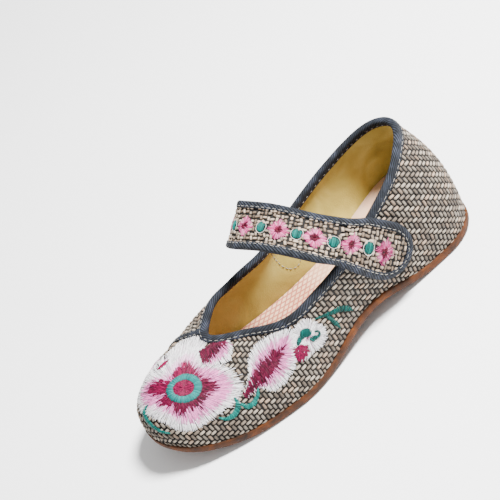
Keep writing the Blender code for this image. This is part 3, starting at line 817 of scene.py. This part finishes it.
LEAVES = [
    # the sprig behind the scrolled bloom, then the two leaves under the bud
    [(13.7, -3.8, 0.8), (18.1, -2.2, 2.0), (23.8, -0.2, 3.2),
     (29.6, 2.0, 4.2), (35.0, 2.2, 3.9), (38.4, 1.6, 2.6), (40.6, 0.9, 0.8)],
    [(20.9, -2.4, 2.2), (25.2, -4.8, 3.2), (29.2, -7.4, 3.0),
     (32.4, -9.8, 1.0)],
    [(-39.4, -65.2, 0.8), (-34.8, -65.8, 2.4), (-31.2, -63.4, 3.4),
     (-28.8, -58.9, 3.4), (-29.5, -54.7, 2.8), (-31.4, -52.4, 1.0)],
    [(-27.4, -56.2, 1.4), (-23.6, -58.0, 3.2), (-20.2, -56.2, 3.2),
     (-17.8, -50.6, 2.4), (-18.0, -46.2, 0.9)],
    # the leaf at the tip of the toe
    [(-80.2, -60.4, 1.2), (-82.6, -64.2, 3.0), (-80.6, -68.4, 3.2),
     (-75.8, -72.9, 2.8), (-71.5, -75.4, 2.2), (-65.8, -76.2, 1.0)],
]
SCROLL = [
    [(4.2, -19.6, 1.6), (4.6, -17.4, 2.8), (5.6, -15.2, 3.4),
     (6.6, -14.4, 3.4)],
    [(12.0, -17.0, 3.2), (12.8, -15.8, 4.2), (13.8, -15.4, 3.6),
     (16.0, -14.8, 2.4), (17.2, -13.2, 1.8), (16.6, -11.6, 1.5),
     (15.2, -11.0, 1.3), (14.0, -11.8, 1.0)],
    [(5.2, -12.4, 2.6), (6.4, -12.4, 5.2), (8.4, -12.4, 6.6),
     (10.6, -12.4, 5.4), (11.8, -12.6, 2.6)],
]

on_outer = lay_on(outer_panel)


def on_cloth(starts, ends, *more):
    """Leaves out the stitches that would fall under the tapes."""
    keep = np.ones(len(starts), bool)
    for spot in (starts, ends):
        _, w, below, beside, gone = looked_up(outer_panel, *spot.T)
        keep &= (gone < 0.1) & (below > 5.2) & (beside > 2.2) & (w > 0.01)
    return [part[keep] for part in (starts, ends, *more)]


def padding(name, table, share, dye, height):
    """A smooth pad of laid floss under a motif, closed down to the cloth."""
    rows = along_loop(table, 1.2)
    across = np.array([1.0, 0.97, 0.85, 0.6, 0.3, 0.02])
    tall = np.where(across < 1, height, 0.0) + 0.1
    form = bmesh.new()
    bmesh.ops.create_grid(form, x_segments=len(rows), y_segments=5, size=0.5)
    for vert in form.verts:
        vert.index = (round((vert.co.x + 0.5) * len(rows)) % len(rows) * 6
                      + round((vert.co.y + 0.5) * 5))
    heart, edge = rows[:, :2], rows[:, 2:4]
    spot = (heart[:, None]
            + (edge - heart)[:, None] * (share * across)[:, None])
    flat = np.moveaxis(spot, -1, 0)
    _, _, below, beside, gone = looked_up(outer_panel, *flat)
    under = (below < 5.0) | (beside < 2.0) | (gone > 0.1)
    high = np.where(under, 0.05, tall)
    spots = on_outer(*flat, high).reshape(-1, 3)
    for vert in form.verts:
        vert.co = spots[vert.index]
    bmesh.ops.remove_doubles(form, verts=form.verts, dist=2e-5)
    piece = put(name, form, [floss], sharp=3.0)
    dyed(piece.data, np.tile(dye, (len(piece.data.vertices), 1)))
    piece.data.uv_layers.new(name="grain")
    return piece


# soft pads under the petals, so that no ground shows through; under the pale
# petals the pad is a darker grey-pink, painted shade that shows as thin dark
# lines between the stitches, and under the crimson hearts it is dark wine
BLOOMS = {"toe_bloom": (TOE_BLOOM, 5.6), "bud": (BUD, 0.0),
          "side_petal": (SIDE_PETAL, 0.0), "scroll_bloom": (SCROLL_BLOOM, 0.0),
          "inner_petal": (INNER_PETAL, 0.0)}
for name, (table, hollow) in BLOOMS.items():
    padding(name + "_pad", table, 0.88, PAD_SHADE_PINK, 0.25)
    if table[:, 4].max() > 0:
        red = table.copy()
        far = np.linalg.norm(red[:, 2:4] - red[:, :2], axis=1)
        part = np.minimum(table[:, 4] / far, 1.0) * 0.88
        red[:, 2:4] = red[:, :2] + (red[:, 2:4] - red[:, :2]) * part[:, None]
        padding(name + "_heart_pad", red, 1.0, WINE, 0.36)
    starts, ends, dyes = on_cloth(*petals(table, hollow))
    red = (dyes[:, 0] < 0.5)
    lift = np.where(red, 0.42, 0.25)
    # the crimson is deeper in the bud and in the bloom's right-hand petals
    around = np.arctan2(*((starts + ends) / 2 - table[0, :2]).T[::-1])
    deep = 0.76 - 0.26 * np.cos(around + 0.6) if name == "toe_bloom" else 0.55
    dyes = dyes * np.where(red, deep, 1.0)[:, None]
    level = 0.80 if name == "side_petal" else 0.42
    sewn(name + "_stitches", on_outer, starts, ends, dyes,
         width=0.42, height=level, lift=lift)
for name, table in (("spot", SPOT), ("inner_spot", INNER_SPOT)):
    sewn(name + "_stitches", on_outer, *on_cloth(*petals(table)),
         width=0.46, height=0.62, lift=0.35)

# the ring: satin stitches across a padded cord, and the heart inside it
turn = np.arange(0, 2 * np.pi, 0.052)
spoke = np.stack([np.cos(turn), np.sin(turn)], -1)
heart = np.array(BLOOM_HEART)
inner = heart + spoke * (6.0, 4.9) * chance.normal(1, 0.012, (len(turn), 1))
outer = heart + spoke * (10.9, 9.5) * chance.normal(1, 0.010, (len(turn), 1))
teals = np.tile(colour("#1A827F")[:3], (len(turn), 1))
sewn("ring_stitches", on_outer, inner, outer, teals,
     width=0.50, height=0.75, lift=0.75)
HEART = polar(*BLOOM_HEART, [
    (a, 9, 9, 5.9 if a % 180 < 45 or a % 180 > 135 else 4.9)
    for a in range(0, 360, 15)])
padding("ring_heart_pad", HEART, 1.1, WINE, 0.42)
sewn("ring_heart_stitches", on_outer, *petals(HEART, step=0.3),
     width=0.46, height=0.60, lift=0.30)

rows = [satin(leaf) for leaf in LEAVES]
starts, ends = joined(rows)
# the sprig is in the darker of two teals
count = [len(part[0]) for part in rows]
teals = (np.tile(TEAL[:3], (len(starts), 1))
         * np.repeat((0.55, 0.55, 1.5, 1.5, 1.2), count)[:, None])
sewn("leaf_stitches", on_outer, starts, ends, teals,
     width=0.44, height=0.62, lift=0.50)
starts, ends = joined([satin(path, slant=0.0) for path in SCROLL])
teals = np.tile(TEAL[:3], (len(starts), 1)) * 0.6
sewn("scroll_stitches", on_outer, starts, ends, teals,
     width=0.46, height=0.75, lift=0.75)

# the straws, left out where floss covers the cloth
bare = []
for table, _ in BLOOMS.values():
    rows = along_loop(table, 1.0)
    bare.append(rows[:, :2] + (rows[:, 2:4] - rows[:, :2]) * 0.93)
weave("straw_weave_outer", outer_panel, bare, stretched)
weave("straw_weave_inner", inner_panel, [], lambda x: x)

# Collar binding
# Slate blue cotton twill tape, 6 mm to a side, is folded over the whole edge
# of the opening and sewn down with one line of pale running stitches.
TAPE, TAPE_OUT, TAPE_IN = 0.9, 5.8, 5.0

# twill tape: soft cotton, faded on top; its slanting ribs are about 1 mm
# apart and are drawn 1.5 mm apart, so that they show; their light and
# shade are painted into its colour, darker in the furrows and lighter on
# the ridges
twill, tree, shader = material("cotton_twill_tape", 0.8,
                               Specular_IOR_Level=0.25)
flat = add(tree, "UVMap", uv_map="tape")["UV"]
place = add(tree, "TexCoord")["Object"]
# the UV map is in millimetres, along the tape and across it
turned = add(tree, "Mapping", {"Vector": flat, "Rotation": (0, 0, 0.95)})
rib = add(tree, "TexWave", {"Vector": turned["Vector"], "Scale": 0.2094,
                            "Distortion": 0.5, "Detail": 2.0,
                            "Detail Scale": 2.0})["Fac"]
worn = add(tree, "TexNoise", {"Vector": place, "Scale": 160.0,
                              "Detail": 5.0})["Fac"]
slate = add(tree, "ValToRGB", {"Fac": worn}, ramp=(
    (0.30, "#0B0D12"), (0.72, "#2A2E39"), (0.5, "#151920")))["Color"]
# painted shade and highlight: each rib is painted darker in its furrow and
# lighter on its ridge
rib_light_and_shade = add(tree, "MapRange", {"Value": rib, 1: 0.1, 2: 0.9,
                                3: 0.30, 4: 1.8})["Result"]
slate = add(tree, "Mix", {0: 1.0, 6: slate, 7: rib_light_and_shade},
            data_type="RGBA", blend_type="MULTIPLY")[2]
fluff = add(tree, "TexNoise", {"Vector": place, "Scale": 2600.0})["Fac"]
dress(tree, shader, slate, (fluff, 0.0002, 0.4), (rib, 0.00045, 0.9))

# sewing thread: pale waxed cotton
thread, tree, shader = material("pale_sewing_thread", 0.6)
twist = add(tree, "UVMap", uv_map="grain")["UV"]
twist = add(tree, "Mapping", {"Vector": twist, "Rotation": (0, 0, 0.8)})
twist = add(tree, "TexWave", {"Vector": twist["Vector"], "Scale": 0.5})["Fac"]
# painted shade and highlight: the twist's grooves are painted darker and its
# plies lighter
pale = add(tree, "ValToRGB", {"Fac": twist}, ramp=(
    (0.1, "#7A766E"), (0.8, "#BEBAB2")))["Color"]
dress(tree, shader, pale, (twist, 0.0002, 1.0))
PALE = colour("#D8D4CC")


def below_collar(s, down):
    """Value of w at a distance down the cloth from the collar's edge."""
    w = np.linspace(0.4, 1, 61)
    points = wall(np.asarray(s)[..., None], w)
    steps = np.linalg.norm(np.diff(points, axis=-2), axis=-1)
    run = np.flip(np.cumsum(np.flip(steps, -1), -1), -1)
    run = np.pad(run, ((0, 0), (0, 1)))
    down = np.broadcast_to(down, np.shape(s))
    return np.array([np.interp(-d, -r, w) for d, r in zip(down, run)])


def off_wall(s, w, out):
    return wall(s, w) + wall_out(s, w) * np.asarray(out, float)[..., None]


def taped(name, rows, closed, stands_for):
    """A twill tape from its sections, with a UV map in millimetres.

    Rows run along the tape; each row's points run around its section.
    """
    if closed:
        rows = np.concatenate([rows, rows[:1]])
    rows = np.concatenate([rows, rows[:, :1]], 1)
    u = np.linalg.norm(np.diff(rows, axis=0), axis=2).mean(1)
    v = np.linalg.norm(np.diff(rows, axis=1), axis=2).mean(0)
    u = np.concatenate([[0], np.cumsum(u)])
    v = np.concatenate([[0], np.cumsum(v)])
    form = bmesh.new()
    wide, high = rows.shape[0] - 1, rows.shape[1] - 1
    bmesh.ops.create_grid(form, x_segments=wide, y_segments=high, size=0.5)
    spots = to_frame(rows)
    layer = form.loops.layers.uv.new("tape")
    for face in form.faces:
        for loop in face.loops:
            i = round((loop.vert.co.x + 0.5) * wide)
            j = round((loop.vert.co.y + 0.5) * high)
            loop[layer].uv = (u[i], v[j])
    for vert in form.verts:
        i = round((vert.co.x + 0.5) * wide)
        j = round((vert.co.y + 0.5) * high)
        vert.co = spots[i, j]
    bmesh.ops.remove_doubles(form, verts=form.verts, dist=1e-6)
    if not closed:
        edge = [e for e in form.edges if e.is_boundary]
        bmesh.ops.holes_fill(form, edges=edge, sides=0)
    bmesh.ops.recalc_face_normals(form, faces=form.faces)
    return put(name, form, [twill], [stands_for], sharp=1.4)


THIN = GAP + TAPE
FOLD = [
    (TAPE_OUT, GAP - 0.2), (TAPE_OUT, THIN - 0.45),
    (TAPE_OUT - 0.25, THIN - 0.1), (TAPE_OUT - 0.7, THIN),
    (TAPE_OUT - 1.4, THIN - 0.16), (4.0, THIN + 0.12),
    (3.2, THIN + 0.25), (2.2, THIN + 0.22), (1.3, THIN + 0.05),
    (0.6, THIN - 0.35), (0.15, THIN - 1.0), (0.0, -WALL / 2),
    (0.15, -WALL - THIN + 1.0), (0.6, -WALL - THIN + 0.35),
    (1.3, -WALL - THIN), (TAPE_IN, -WALL - THIN), (TAPE_IN, -WALL - GAP),
    (TAPE, -WALL - GAP), (TAPE, GAP),
]
stations = np.arange(240) / 240
fold = []
for down, out in FOLD:
    w = below_collar(stations, down)
    fold.append(off_wall(stations, w, out))
binding = taped("twill_collar_binding", np.stack(fold, 1), True,
                "collar_binding")


def running(name, points, outs, length, pitch, width):
    """Running stitches along a line of points, standing off it a little."""
    run = distance(points)
    begin = np.arange(pitch / 2, run[-1] - length, pitch)
    begin = begin + chance.normal(0, 0.12, len(begin))
    form = thread_form()
    local = points_of(form)
    at = begin[:, None] + local[:, 0] * length
    spot = np.stack([np.interp(at, run, points[:, k]) for k in range(3)], -1)
    out = np.stack([np.interp(at, run, outs[:, k]) for k in range(3)], -1)
    way = np.stack([np.interp(at, run, np.gradient(points[:, k], run))
                    for k in range(3)], -1)
    out = unit(out)
    side = unit(np.cross(out, way))
    arch = np.sin(np.pi * local[:, 0]) * 0.25 - 0.12
    places = (spot + side * (local[:, 1] * width)[:, None]
              + out * (arch + local[:, 2] * width * 0.8)[:, None])
    dyes = np.tile(PALE[:3], (len(begin), 1))
    return strewn(name, form, to_frame(places), dyes, thread, 2.0)


line = np.linspace(0, 1, 900)
w = below_collar(line, TAPE_OUT - 1.3)
running("collar_stitches", off_wall(line, w, THIN + 0.02),
        wall_out(line, w), length=2.6, pitch=4.0, width=0.42)
# the inner row shows on the lining's side of the fold
w = below_collar(line, TAPE_IN - 1.2)
running("collar_stitches_inside", off_wall(line, w, -WALL - THIN - 0.02),
        -wall_out(line, w), length=1.6, pitch=4.3, width=0.5)

# Toe seam binding
# The same tape covers the seam between the embroidered front and the plain
# inner quarter, from the throat down to the sole, sewn along both edges. It is
# 5.4 mm wide here.
share = np.linspace(0, 1, 60)
w_top = below_collar(np.array([SEAM_TOP]), TAPE_OUT - 0.6)[0]
seam_w = 0.005 + (w_top - 0.005) * share
seam_s = seam_station(share)
middle = wall(seam_s, seam_w)
run = unit(np.gradient(middle, axis=0))
side = np.cross(wall_out(seam_s, seam_w), run)


def beside_seam(reach):
    """Stations and w of places at a distance to the side of the seam."""
    aim = middle + side * reach
    s, w, e = seam_s.copy(), seam_w.copy(), 1e-4
    for _ in range(8):
        here = wall(s, w)
        ds = (wall(s + e, w) - here) / e
        dw = (wall(s, w + e) - here) / e
        miss = aim - here
        aa, ab, bb = (ds * ds).sum(-1), (ds * dw).sum(-1), (dw * dw).sum(-1)
        ma, mb = (miss * ds).sum(-1), (miss * dw).sum(-1)
        det = aa * bb - ab * ab
        s = s + (ma * bb - mb * ab) / det
        w = w + (mb * aa - ma * ab) / det
    return s, np.clip(w, 0.004, below_collar(s, TAPE_OUT - 0.8))


strip = []
for reach, out in ((-2.7, 0.2), (-2.65, 0.9), (-2.3, 1.15), (-1.6, 1.0),
                   (-0.8, 1.22), (0.0, 1.25), (0.8, 1.22), (1.6, 1.0),
                   (2.3, 1.15), (2.65, 0.9), (2.7, 0.2)):
    s, w = beside_seam(reach)
    strip.append(off_wall(s, w, out))
seam = taped("twill_toe_seam_binding", np.stack(strip, 1), False,
             "toe_seam_binding")
for name, reach in (("front", 1.7), ("back", -1.7)):
    s, w = beside_seam(reach)
    running("toe_seam_stitches_" + name, off_wall(s, w, 1.1),
            wall_out(s, w), length=2.6, pitch=3.8, width=0.45)

# Strap anchorage
# Where the strap is sewn to the inner quarter, its stitches come through the
# lining as a U of pale dashes.
u = np.linspace(0, 1, 80)
# the U's middle and half length along the shoe, its top and its depth
ANCHOR_Y, ANCHOR_HALF, ANCHOR_TOP, ANCHOR_DEEP = 140.5, 8.5, 46.0, 21.0
y = ANCHOR_Y + ANCHOR_HALF * np.cos(np.pi * u)
z = ANCHOR_TOP - ANCHOR_DEEP * np.sin(np.pi * u) ** 0.6
s = 1 - np.arccos(1 - 2 * y / LENGTH) / (2 * np.pi)
w = np.full(80, 0.6)
# the inner quarter is about 55 mm tall here
for _ in range(20):
    w = np.clip(w - (wall(s, w)[:, 2] - z) / 55, 0.1, 0.95)
running("strap_anchor_stitches", off_wall(s, w, -WALL - 0.1),
        -wall_out(s, w), length=1.9, pitch=2.9, width=0.5)

# Strap
# A band of the same straw cloth, here cut straight, so that its ribbons lie
# along and across it. It arches over the instep from the inner quarter.
STRAP_CREST, STRAP_WIDTH, STRAP_TIP_WIDTH = 89.0, 30.0, 35.5
STRAP_THICK, STRAP_END, STRAP_TAPE, STRAP_LEAVE = 2.2, 17.0, 4.6, 20.0
# share of its run, x, y and z as shares, and how its face looks
STRAP = np.array([
    (0.000, -1.12, 0.604, 0.370, -1.00, 0.00, 0.10),
    (0.135, -1.08, 0.576, 0.630, -1.00, -0.10, 0.15),
    (0.251, -0.97, 0.524, 0.820, -0.87, -0.35, 0.40),
    (0.405, -0.48, 0.496, 0.990, -0.25, -0.60, 0.80),
    (0.550, 0.27, 0.537, 1.000, 0.20, -0.25, 0.90),
    (0.695, 0.94, 0.604, 0.850, 0.65, 0.15, 0.65),
    (0.810, 1.20, 0.671, 0.635, 0.95, 0.15, 0.30),
    (0.897, 1.26, 0.717, 0.465, 1.00, 0.05, 0.15),
    (0.965, 1.24, 0.753, 0.345, 1.00, 0.00, 0.10),
    (1.000, 1.23, 0.772, 0.285, 1.00, 0.00, 0.10),
])
STRAP_STAND = TAPE + 2 * GAP + TAPE + GAP + STRAP_THICK / 2
STRAP_SIZES = (OPEN_HALF, LENGTH, STRAP_CREST)


def rim_height(y, side):
    """Height of the collar's edge on the outer or inner side."""
    s = np.linspace(0.001, 0.499, 120)
    outer, inner = collar(s), collar(1 - s)
    return np.where(side > 0, np.interp(y, outer[:, 1], outer[:, 2]),
                    np.interp(y, inner[:, 1], inner[:, 2]))


def wall_beside(y, z, side):
    """Station and w of the outer or inner wall at a place y, z."""
    s = np.arccos(1 - 2 * np.clip(y / LENGTH, 0.05, 0.95)) / (2 * np.pi)
    s = np.where(side > 0, s, 1 - s)
    w = np.clip(z / 70, 0.1, 1.0)
    e = 1e-4
    for _ in range(14):
        here = wall(s, w)
        ds = (wall(s + e, w) - here) / e
        dw = (wall(s, w + e) - here) / e
        miss_y, miss_z = y - here[..., 1], z - here[..., 2]
        det = ds[..., 1] * dw[..., 2] - dw[..., 1] * ds[..., 2]
        step_s = (miss_y * dw[..., 2] - dw[..., 1] * miss_z) / det
        step_w = (ds[..., 1] * miss_z - miss_y * ds[..., 2]) / det
        s = s + np.clip(step_s, -0.02, 0.02)
        w = np.clip(w + np.clip(step_w, -0.2, 0.2), 0.02, 1.0)
    return s, w


def strap_middle(u):
    return np.stack([size * curve(STRAP, k + 1, u)
                     for k, size in enumerate(STRAP_SIZES)], -1)


steps = np.diff(strap_middle(np.linspace(0, 1, 200)), axis=0)
STRAP_LENGTH = np.linalg.norm(steps, axis=1).sum()


def strap_point(p, q, h):
    """Point of the strap: p along it, q across it and h off its middle."""
    u = np.asarray(p, float) / STRAP_LENGTH
    e = 1e-3
    middle = strap_middle(u)
    run = unit(strap_middle(u + e) - strap_middle(u - e))
    face = np.stack([curve(STRAP, k, u) for k in (4, 5, 6)], -1)
    face = unit(face - (face * run).sum(-1, keepdims=True) * run)
    flare = np.clip((u - 0.70) / 0.19, 0, 1)
    flare = flare * flare * (3 - 2 * flare)
    wide = 1 + (STRAP_TIP_WIDTH / STRAP_WIDTH - 1) * flare
    aside = np.cross(run, face) * (np.asarray(q, float) * wide)[..., None]
    point = middle + aside
    side = np.where(point[..., 0] > 0, 1.0, -1.0)
    rim = rim_height(point[..., 1], side)
    s, w = wall_beside(point[..., 1], np.minimum(point[..., 2], rim), side)
    beside = off_wall(s, w, STRAP_STAND)
    beside[..., 1:] += (point - wall(s, w))[..., 1:]
    hold = np.clip(1 - (point[..., 2] - rim) / STRAP_LEAVE, 0, 1)
    hold = hold * hold * (3 - 2 * hold)
    hold = np.where(np.abs(point[..., 0]) > 20, hold, 0.0)[..., None]
    point = point * (1 - hold) + beside * hold
    face = unit(face * (1 - hold) + wall_out(s, w) * hold)
    return point + face * np.asarray(h, float)[..., None]


def on_strap(x, y, height):
    """Lays places along and across the strap, y being towards its rear."""
    x = np.clip(x, 0.0, STRAP_LENGTH)
    return to_frame(strap_point(x, -y, STRAP_THICK / 2 + height))


# its underside has the shoe's own cotton lining
band = put("strap_ground", lined("strap"), [ground, lining], ["strap"])

# motifs along its middle: teal dots and small four-petalled flowers by turns
FLOWERS = (24.5, 46.8, 68.4, 90.7, 113.7, 133.3, 152.8, 174.2)
DOTS = (13.0, 35.6, 57.6, 79.2, 102.7, 124.0, 142.8, 163.6)


def within_end(x, y, inset):
    """Whether places lie inside the strap's rounded outline."""
    half, bend = STRAP_WIDTH / 2 - inset, STRAP_END - inset
    past = np.maximum(STRAP_END - x, x - (STRAP_LENGTH - STRAP_END))
    reach = np.clip(past / bend, 0, 1)
    return ((past < bend)
            & (np.abs(y) < half * np.sqrt(np.clip(1 - reach ** 2, 0, 1))))


# the ribbons are shorter here, and left out where the motifs lie
NUB, NUB_PITCH = (2.7, 1.6, 0.85), 2.65
MIDLINE, FLOWER_BARE, DOT_BARE = -0.7, 5.4, 3.2
form = ribbon_form(*NUB)
local = points_of(form)
ahead, aside = np.meshgrid(np.arange(0, 72), np.arange(-6, 7), indexing="ij")
x = ahead.ravel() * NUB_PITCH + chance.normal(0, 0.28, ahead.size)
y = aside.ravel() * NUB_PITCH + chance.normal(0, 0.28, ahead.size)
lengthwise = (ahead + aside).ravel() % 2
keep = within_end(x, y, STRAP_TAPE - 0.6)
for spot in FLOWERS:
    keep &= np.abs(x - spot) + np.abs(y - MIDLINE) > FLOWER_BARE
for spot in DOTS:
    keep &= (x - spot) ** 2 + (y - MIDLINE) ** 2 > DOT_BARE ** 2
x, y, lengthwise = x[keep], y[keep], lengthwise[keep]
turn = np.where(lengthwise > 0, 0.0, np.pi / 2)
turn = turn + chance.normal(0, 0.20, len(x)) + 0.12
cos, sin = np.cos(turn)[:, None], np.sin(turn)[:, None]
size = chance.normal(1.0, 0.14, (len(x), 1))
flat_x = x[:, None] + cos * local[:, 0] * size - sin * local[:, 1]
flat_y = y[:, None] + sin * local[:, 0] * size + cos * local[:, 1]
high = local[:, 2] + chance.normal(0, 0.07, (len(x), 1))
spots = on_strap(flat_x, flat_y, high)
tone = np.array([colour(c)[:3] for c in ("#A08E7C", "#766454", "#B29F8D")])
dyes = tone[chance.choice(3, len(x), p=(0.45, 0.30, 0.25))]
dyes = dyes * chance.normal(0.92, 0.22, (len(x), 1))
strewn("strap_straw_weave", form, spots, dyes, straw)

# Strap embroidery
# Each flower is a burst of pink floss from a crimson heart with a pale knot;
# each dot is teal satin stitch inside a pale outline.
FLOWER_REACH, DOT_HALF, DOT_RIM = 6.8, 2.9, 3.3
stitches = []
for spot in FLOWERS:
    heart = np.array([spot, MIDLINE])
    for _ in range(2):
        turn = np.arange(0, 2 * np.pi, 0.15) + chance.uniform(0, 0.1)
        way = np.stack([np.cos(turn), np.sin(turn)], -1)
        # four blunt petals, towards the ends and the edges of the strap
        reach = FLOWER_REACH / np.abs(way).sum(1) ** 0.75
        reach = reach * chance.normal(1.0, 0.07, len(turn))
        begin = chance.uniform(0.5, 2.6, len(turn))
        pick = chance.random(len(turn))[:, None]
        pink = np.where(pick < 0.6, colour("#CC4884")[:3],
                        colour("#E884B0")[:3])
        stitches.append((heart + way * begin[:, None],
                         heart + way * reach[:, None], pink))
    turn = np.arange(0, 2 * np.pi, 0.22) + chance.uniform(0, 0.2)
    way = np.stack([np.cos(turn), np.sin(turn)], -1)
    reach = chance.uniform(2.0, 3.9, len(turn))[:, None]
    stitches.append((heart + way * 0.2, heart + way * reach,
                     np.tile(colour("#560020")[:3], (len(turn), 1))))
starts, ends, dyes = joined(stitches)
lift = np.where(dyes[:, 1] < 0.02, 0.55, 0.3)
sewn("strap_flower_stitches", on_strap, starts, ends, dyes,
     width=0.42, height=0.5, lift=lift)

stitches = []
for spot in DOTS:
    heart = np.array([spot, MIDLINE])
    level = np.arange(-2.6, 2.61, 0.36)
    half = np.sqrt(np.maximum(DOT_HALF ** 2 - level ** 2, 0.3))
    stitches.append((heart + np.stack([level * 0.92, -half * 1.12], -1),
                     heart + np.stack([level * 0.92, half * 1.12], -1),
                     np.tile(TEAL[:3], (len(level), 1))))
    turn = np.arange(0, 2 * np.pi, 0.42)
    way = np.stack([np.cos(turn), np.sin(turn) * 1.15], -1)
    ahead = np.stack([np.cos(turn + 0.5), np.sin(turn + 0.5) * 1.15], -1)
    stitches.append((heart + way * DOT_RIM, heart + ahead * DOT_RIM,
                     np.tile(colour("#D9DAD2")[:3], (len(turn), 1))))
starts, ends, dyes = joined(stitches)
lift = np.where(dyes[:, 0] < 0.2, 0.55, 0.15)
sewn("strap_dot_stitches", on_strap, starts, ends, dyes,
     width=0.4, height=0.5, lift=lift)

# Strap binding
# Twill tape folded around the strap's whole edge, 4.6 mm seen on each face,
# sewn through with a line of pale stitches near its inner edge.
THICK = STRAP_THICK / 2


def strap_loop(inset):
    """Places around the strap's outline, starting at its inner end."""
    half = STRAP_WIDTH / 2 - inset
    bend = STRAP_END - inset
    turn = np.linspace(0, np.pi / 2, 15)[:-1]
    start = np.stack([STRAP_END - bend * np.cos(turn),
                      half * np.sin(turn)], -1)
    run = np.linspace(STRAP_END, STRAP_LENGTH - STRAP_END, 90)
    side = np.stack([run, np.full(90, half)], -1)
    end = np.stack([STRAP_LENGTH - start[::-1, 0], start[::-1, 1]], -1)
    one = np.concatenate([start, side, end])
    other = one[1:-1][::-1] * (1, -1)
    return np.concatenate([one, other])


ROLL = [
    (STRAP_TAPE, THICK + 0.1), (STRAP_TAPE - 0.05, THICK + 0.85),
    (STRAP_TAPE - 0.4, THICK + THIN), (STRAP_TAPE - 1.1, THICK + THIN - 0.15),
    (2.6, THICK + THIN + 0.10), (1.6, THICK + THIN + 0.10),
    (0.8, THICK + THIN - 0.15), (0.2, THICK + 0.4), (0.0, 0.0),
    (0.2, -THICK - 0.4), (0.8, -THICK - THIN + 0.15),
    (1.6, -THICK - THIN), (STRAP_TAPE, -THICK - THIN),
    (STRAP_TAPE, -THICK - GAP), (TAPE, -THICK - GAP), (TAPE, THICK + GAP),
]
roll = []
for inset, level in ROLL:
    loop = strap_loop(inset)
    roll.append(strap_point(*loop.T, level))
edging = taped("twill_strap_binding", np.stack(roll, 1), True,
               "strap_binding")
loop = strap_loop(STRAP_TAPE - 1.0)
loop = np.concatenate([loop, loop[:1]])
low, high = (strap_point(*loop.T, level) for level in (THICK, THICK + THIN))
running("strap_stitches", high, high - low,
        length=2.5, pitch=3.9, width=0.42)

# Hook-and-loop patch
# A small black patch holds the strap's free end to the outer quarter.
hook, tree, shader = material("black_hook_and_loop_nylon", 0.7)
place = add(tree, "TexCoord")["Object"]
hooks = add(tree, "TexVoronoi", {"Vector": place, "Scale": 1400.0})["Distance"]
black = add(tree, "ValToRGB", {"Fac": hooks}, ramp=(
    (0.2, "#1B1B1D"), (0.9, "#3A3A3E")))["Color"]
dress(tree, shader, black, (hooks, 0.0004, 1.0))
patch = put("hook_and_loop_patch", merged("hook_patch"), [hook],
            ["hook_patch"])

# Studio
# A plain pale floor, a broad soft light above and behind the shoe and a dim
# even surround; the camera keeps the photo's angle and roll.
floor_finish, tree, shader = material("pale_studio_floor", 0.9)
place = add(tree, "TexCoord")["Object"]
even = add(tree, "TexNoise", {"Vector": place, "Scale": 3.0})["Fac"]
white = add(tree, "ValToRGB", {"Fac": even}, ramp=(
    (0.3, "#F6F6F6"), (0.7, "#FAFAFA")))["Color"]
tree.links.new(white, shader.inputs["Base Color"])
form = bmesh.new()
bmesh.ops.create_grid(form, x_segments=2, y_segments=2, size=4.0)
ground_mesh = bpy.data.meshes.new("studio_floor")
form.to_mesh(ground_mesh)
form.free()
ground_mesh.materials.append(floor_finish)
studio_floor = bpy.data.objects.new("studio_floor", ground_mesh)
bpy.context.scene.collection.objects.link(studio_floor)

world = bpy.data.worlds.new("soft_surround")
bpy.context.scene.world = world
world.use_nodes = True
sky = world.node_tree.nodes["Background"].inputs
sky["Color"].default_value = (1.0, 1.0, 1.0, 1.0)
sky["Strength"].default_value = 0.72
for name, spot, size, power in (
        ("broad_light", (0.25, 0.60, 1.2), 0.35, 100.0),
        ("front_fill", (1.1, -0.7, 0.9), 1.0, 1.0)):
    lamp = bpy.data.lights.new(name, "AREA")
    lamp.shape = "DISK"
    lamp.size = size
    lamp.energy = power
    light = bpy.data.objects.new(name, lamp)
    light.location = spot
    light.rotation_euler = (-Vector(spot)).to_track_quat("-Z", "Y").to_euler()
    bpy.context.scene.collection.objects.link(light)

# the camera: its place, its right, its up and its back
eye = Vector((0.81608, -0.15818, 0.68352))
right = Vector((0.4794, 0.7463, -0.4618)).normalized()
back = Vector((0.7956, -0.1475, 0.5876)).normalized()
above = back.cross(right).normalized()
right = above.cross(back)
lens = bpy.data.cameras.new("photo_view")
lens.lens = 124.05
lens.sensor_width = 36.0
lens.clip_start = 0.05
camera = bpy.data.objects.new("photo_view", lens)
camera.matrix_world = Matrix((
    (right.x, above.x, back.x, eye.x), (right.y, above.y, back.y, eye.y),
    (right.z, above.z, back.z, eye.z), (0, 0, 0, 1)))
bpy.context.scene.collection.objects.link(camera)
bpy.context.scene.camera = camera
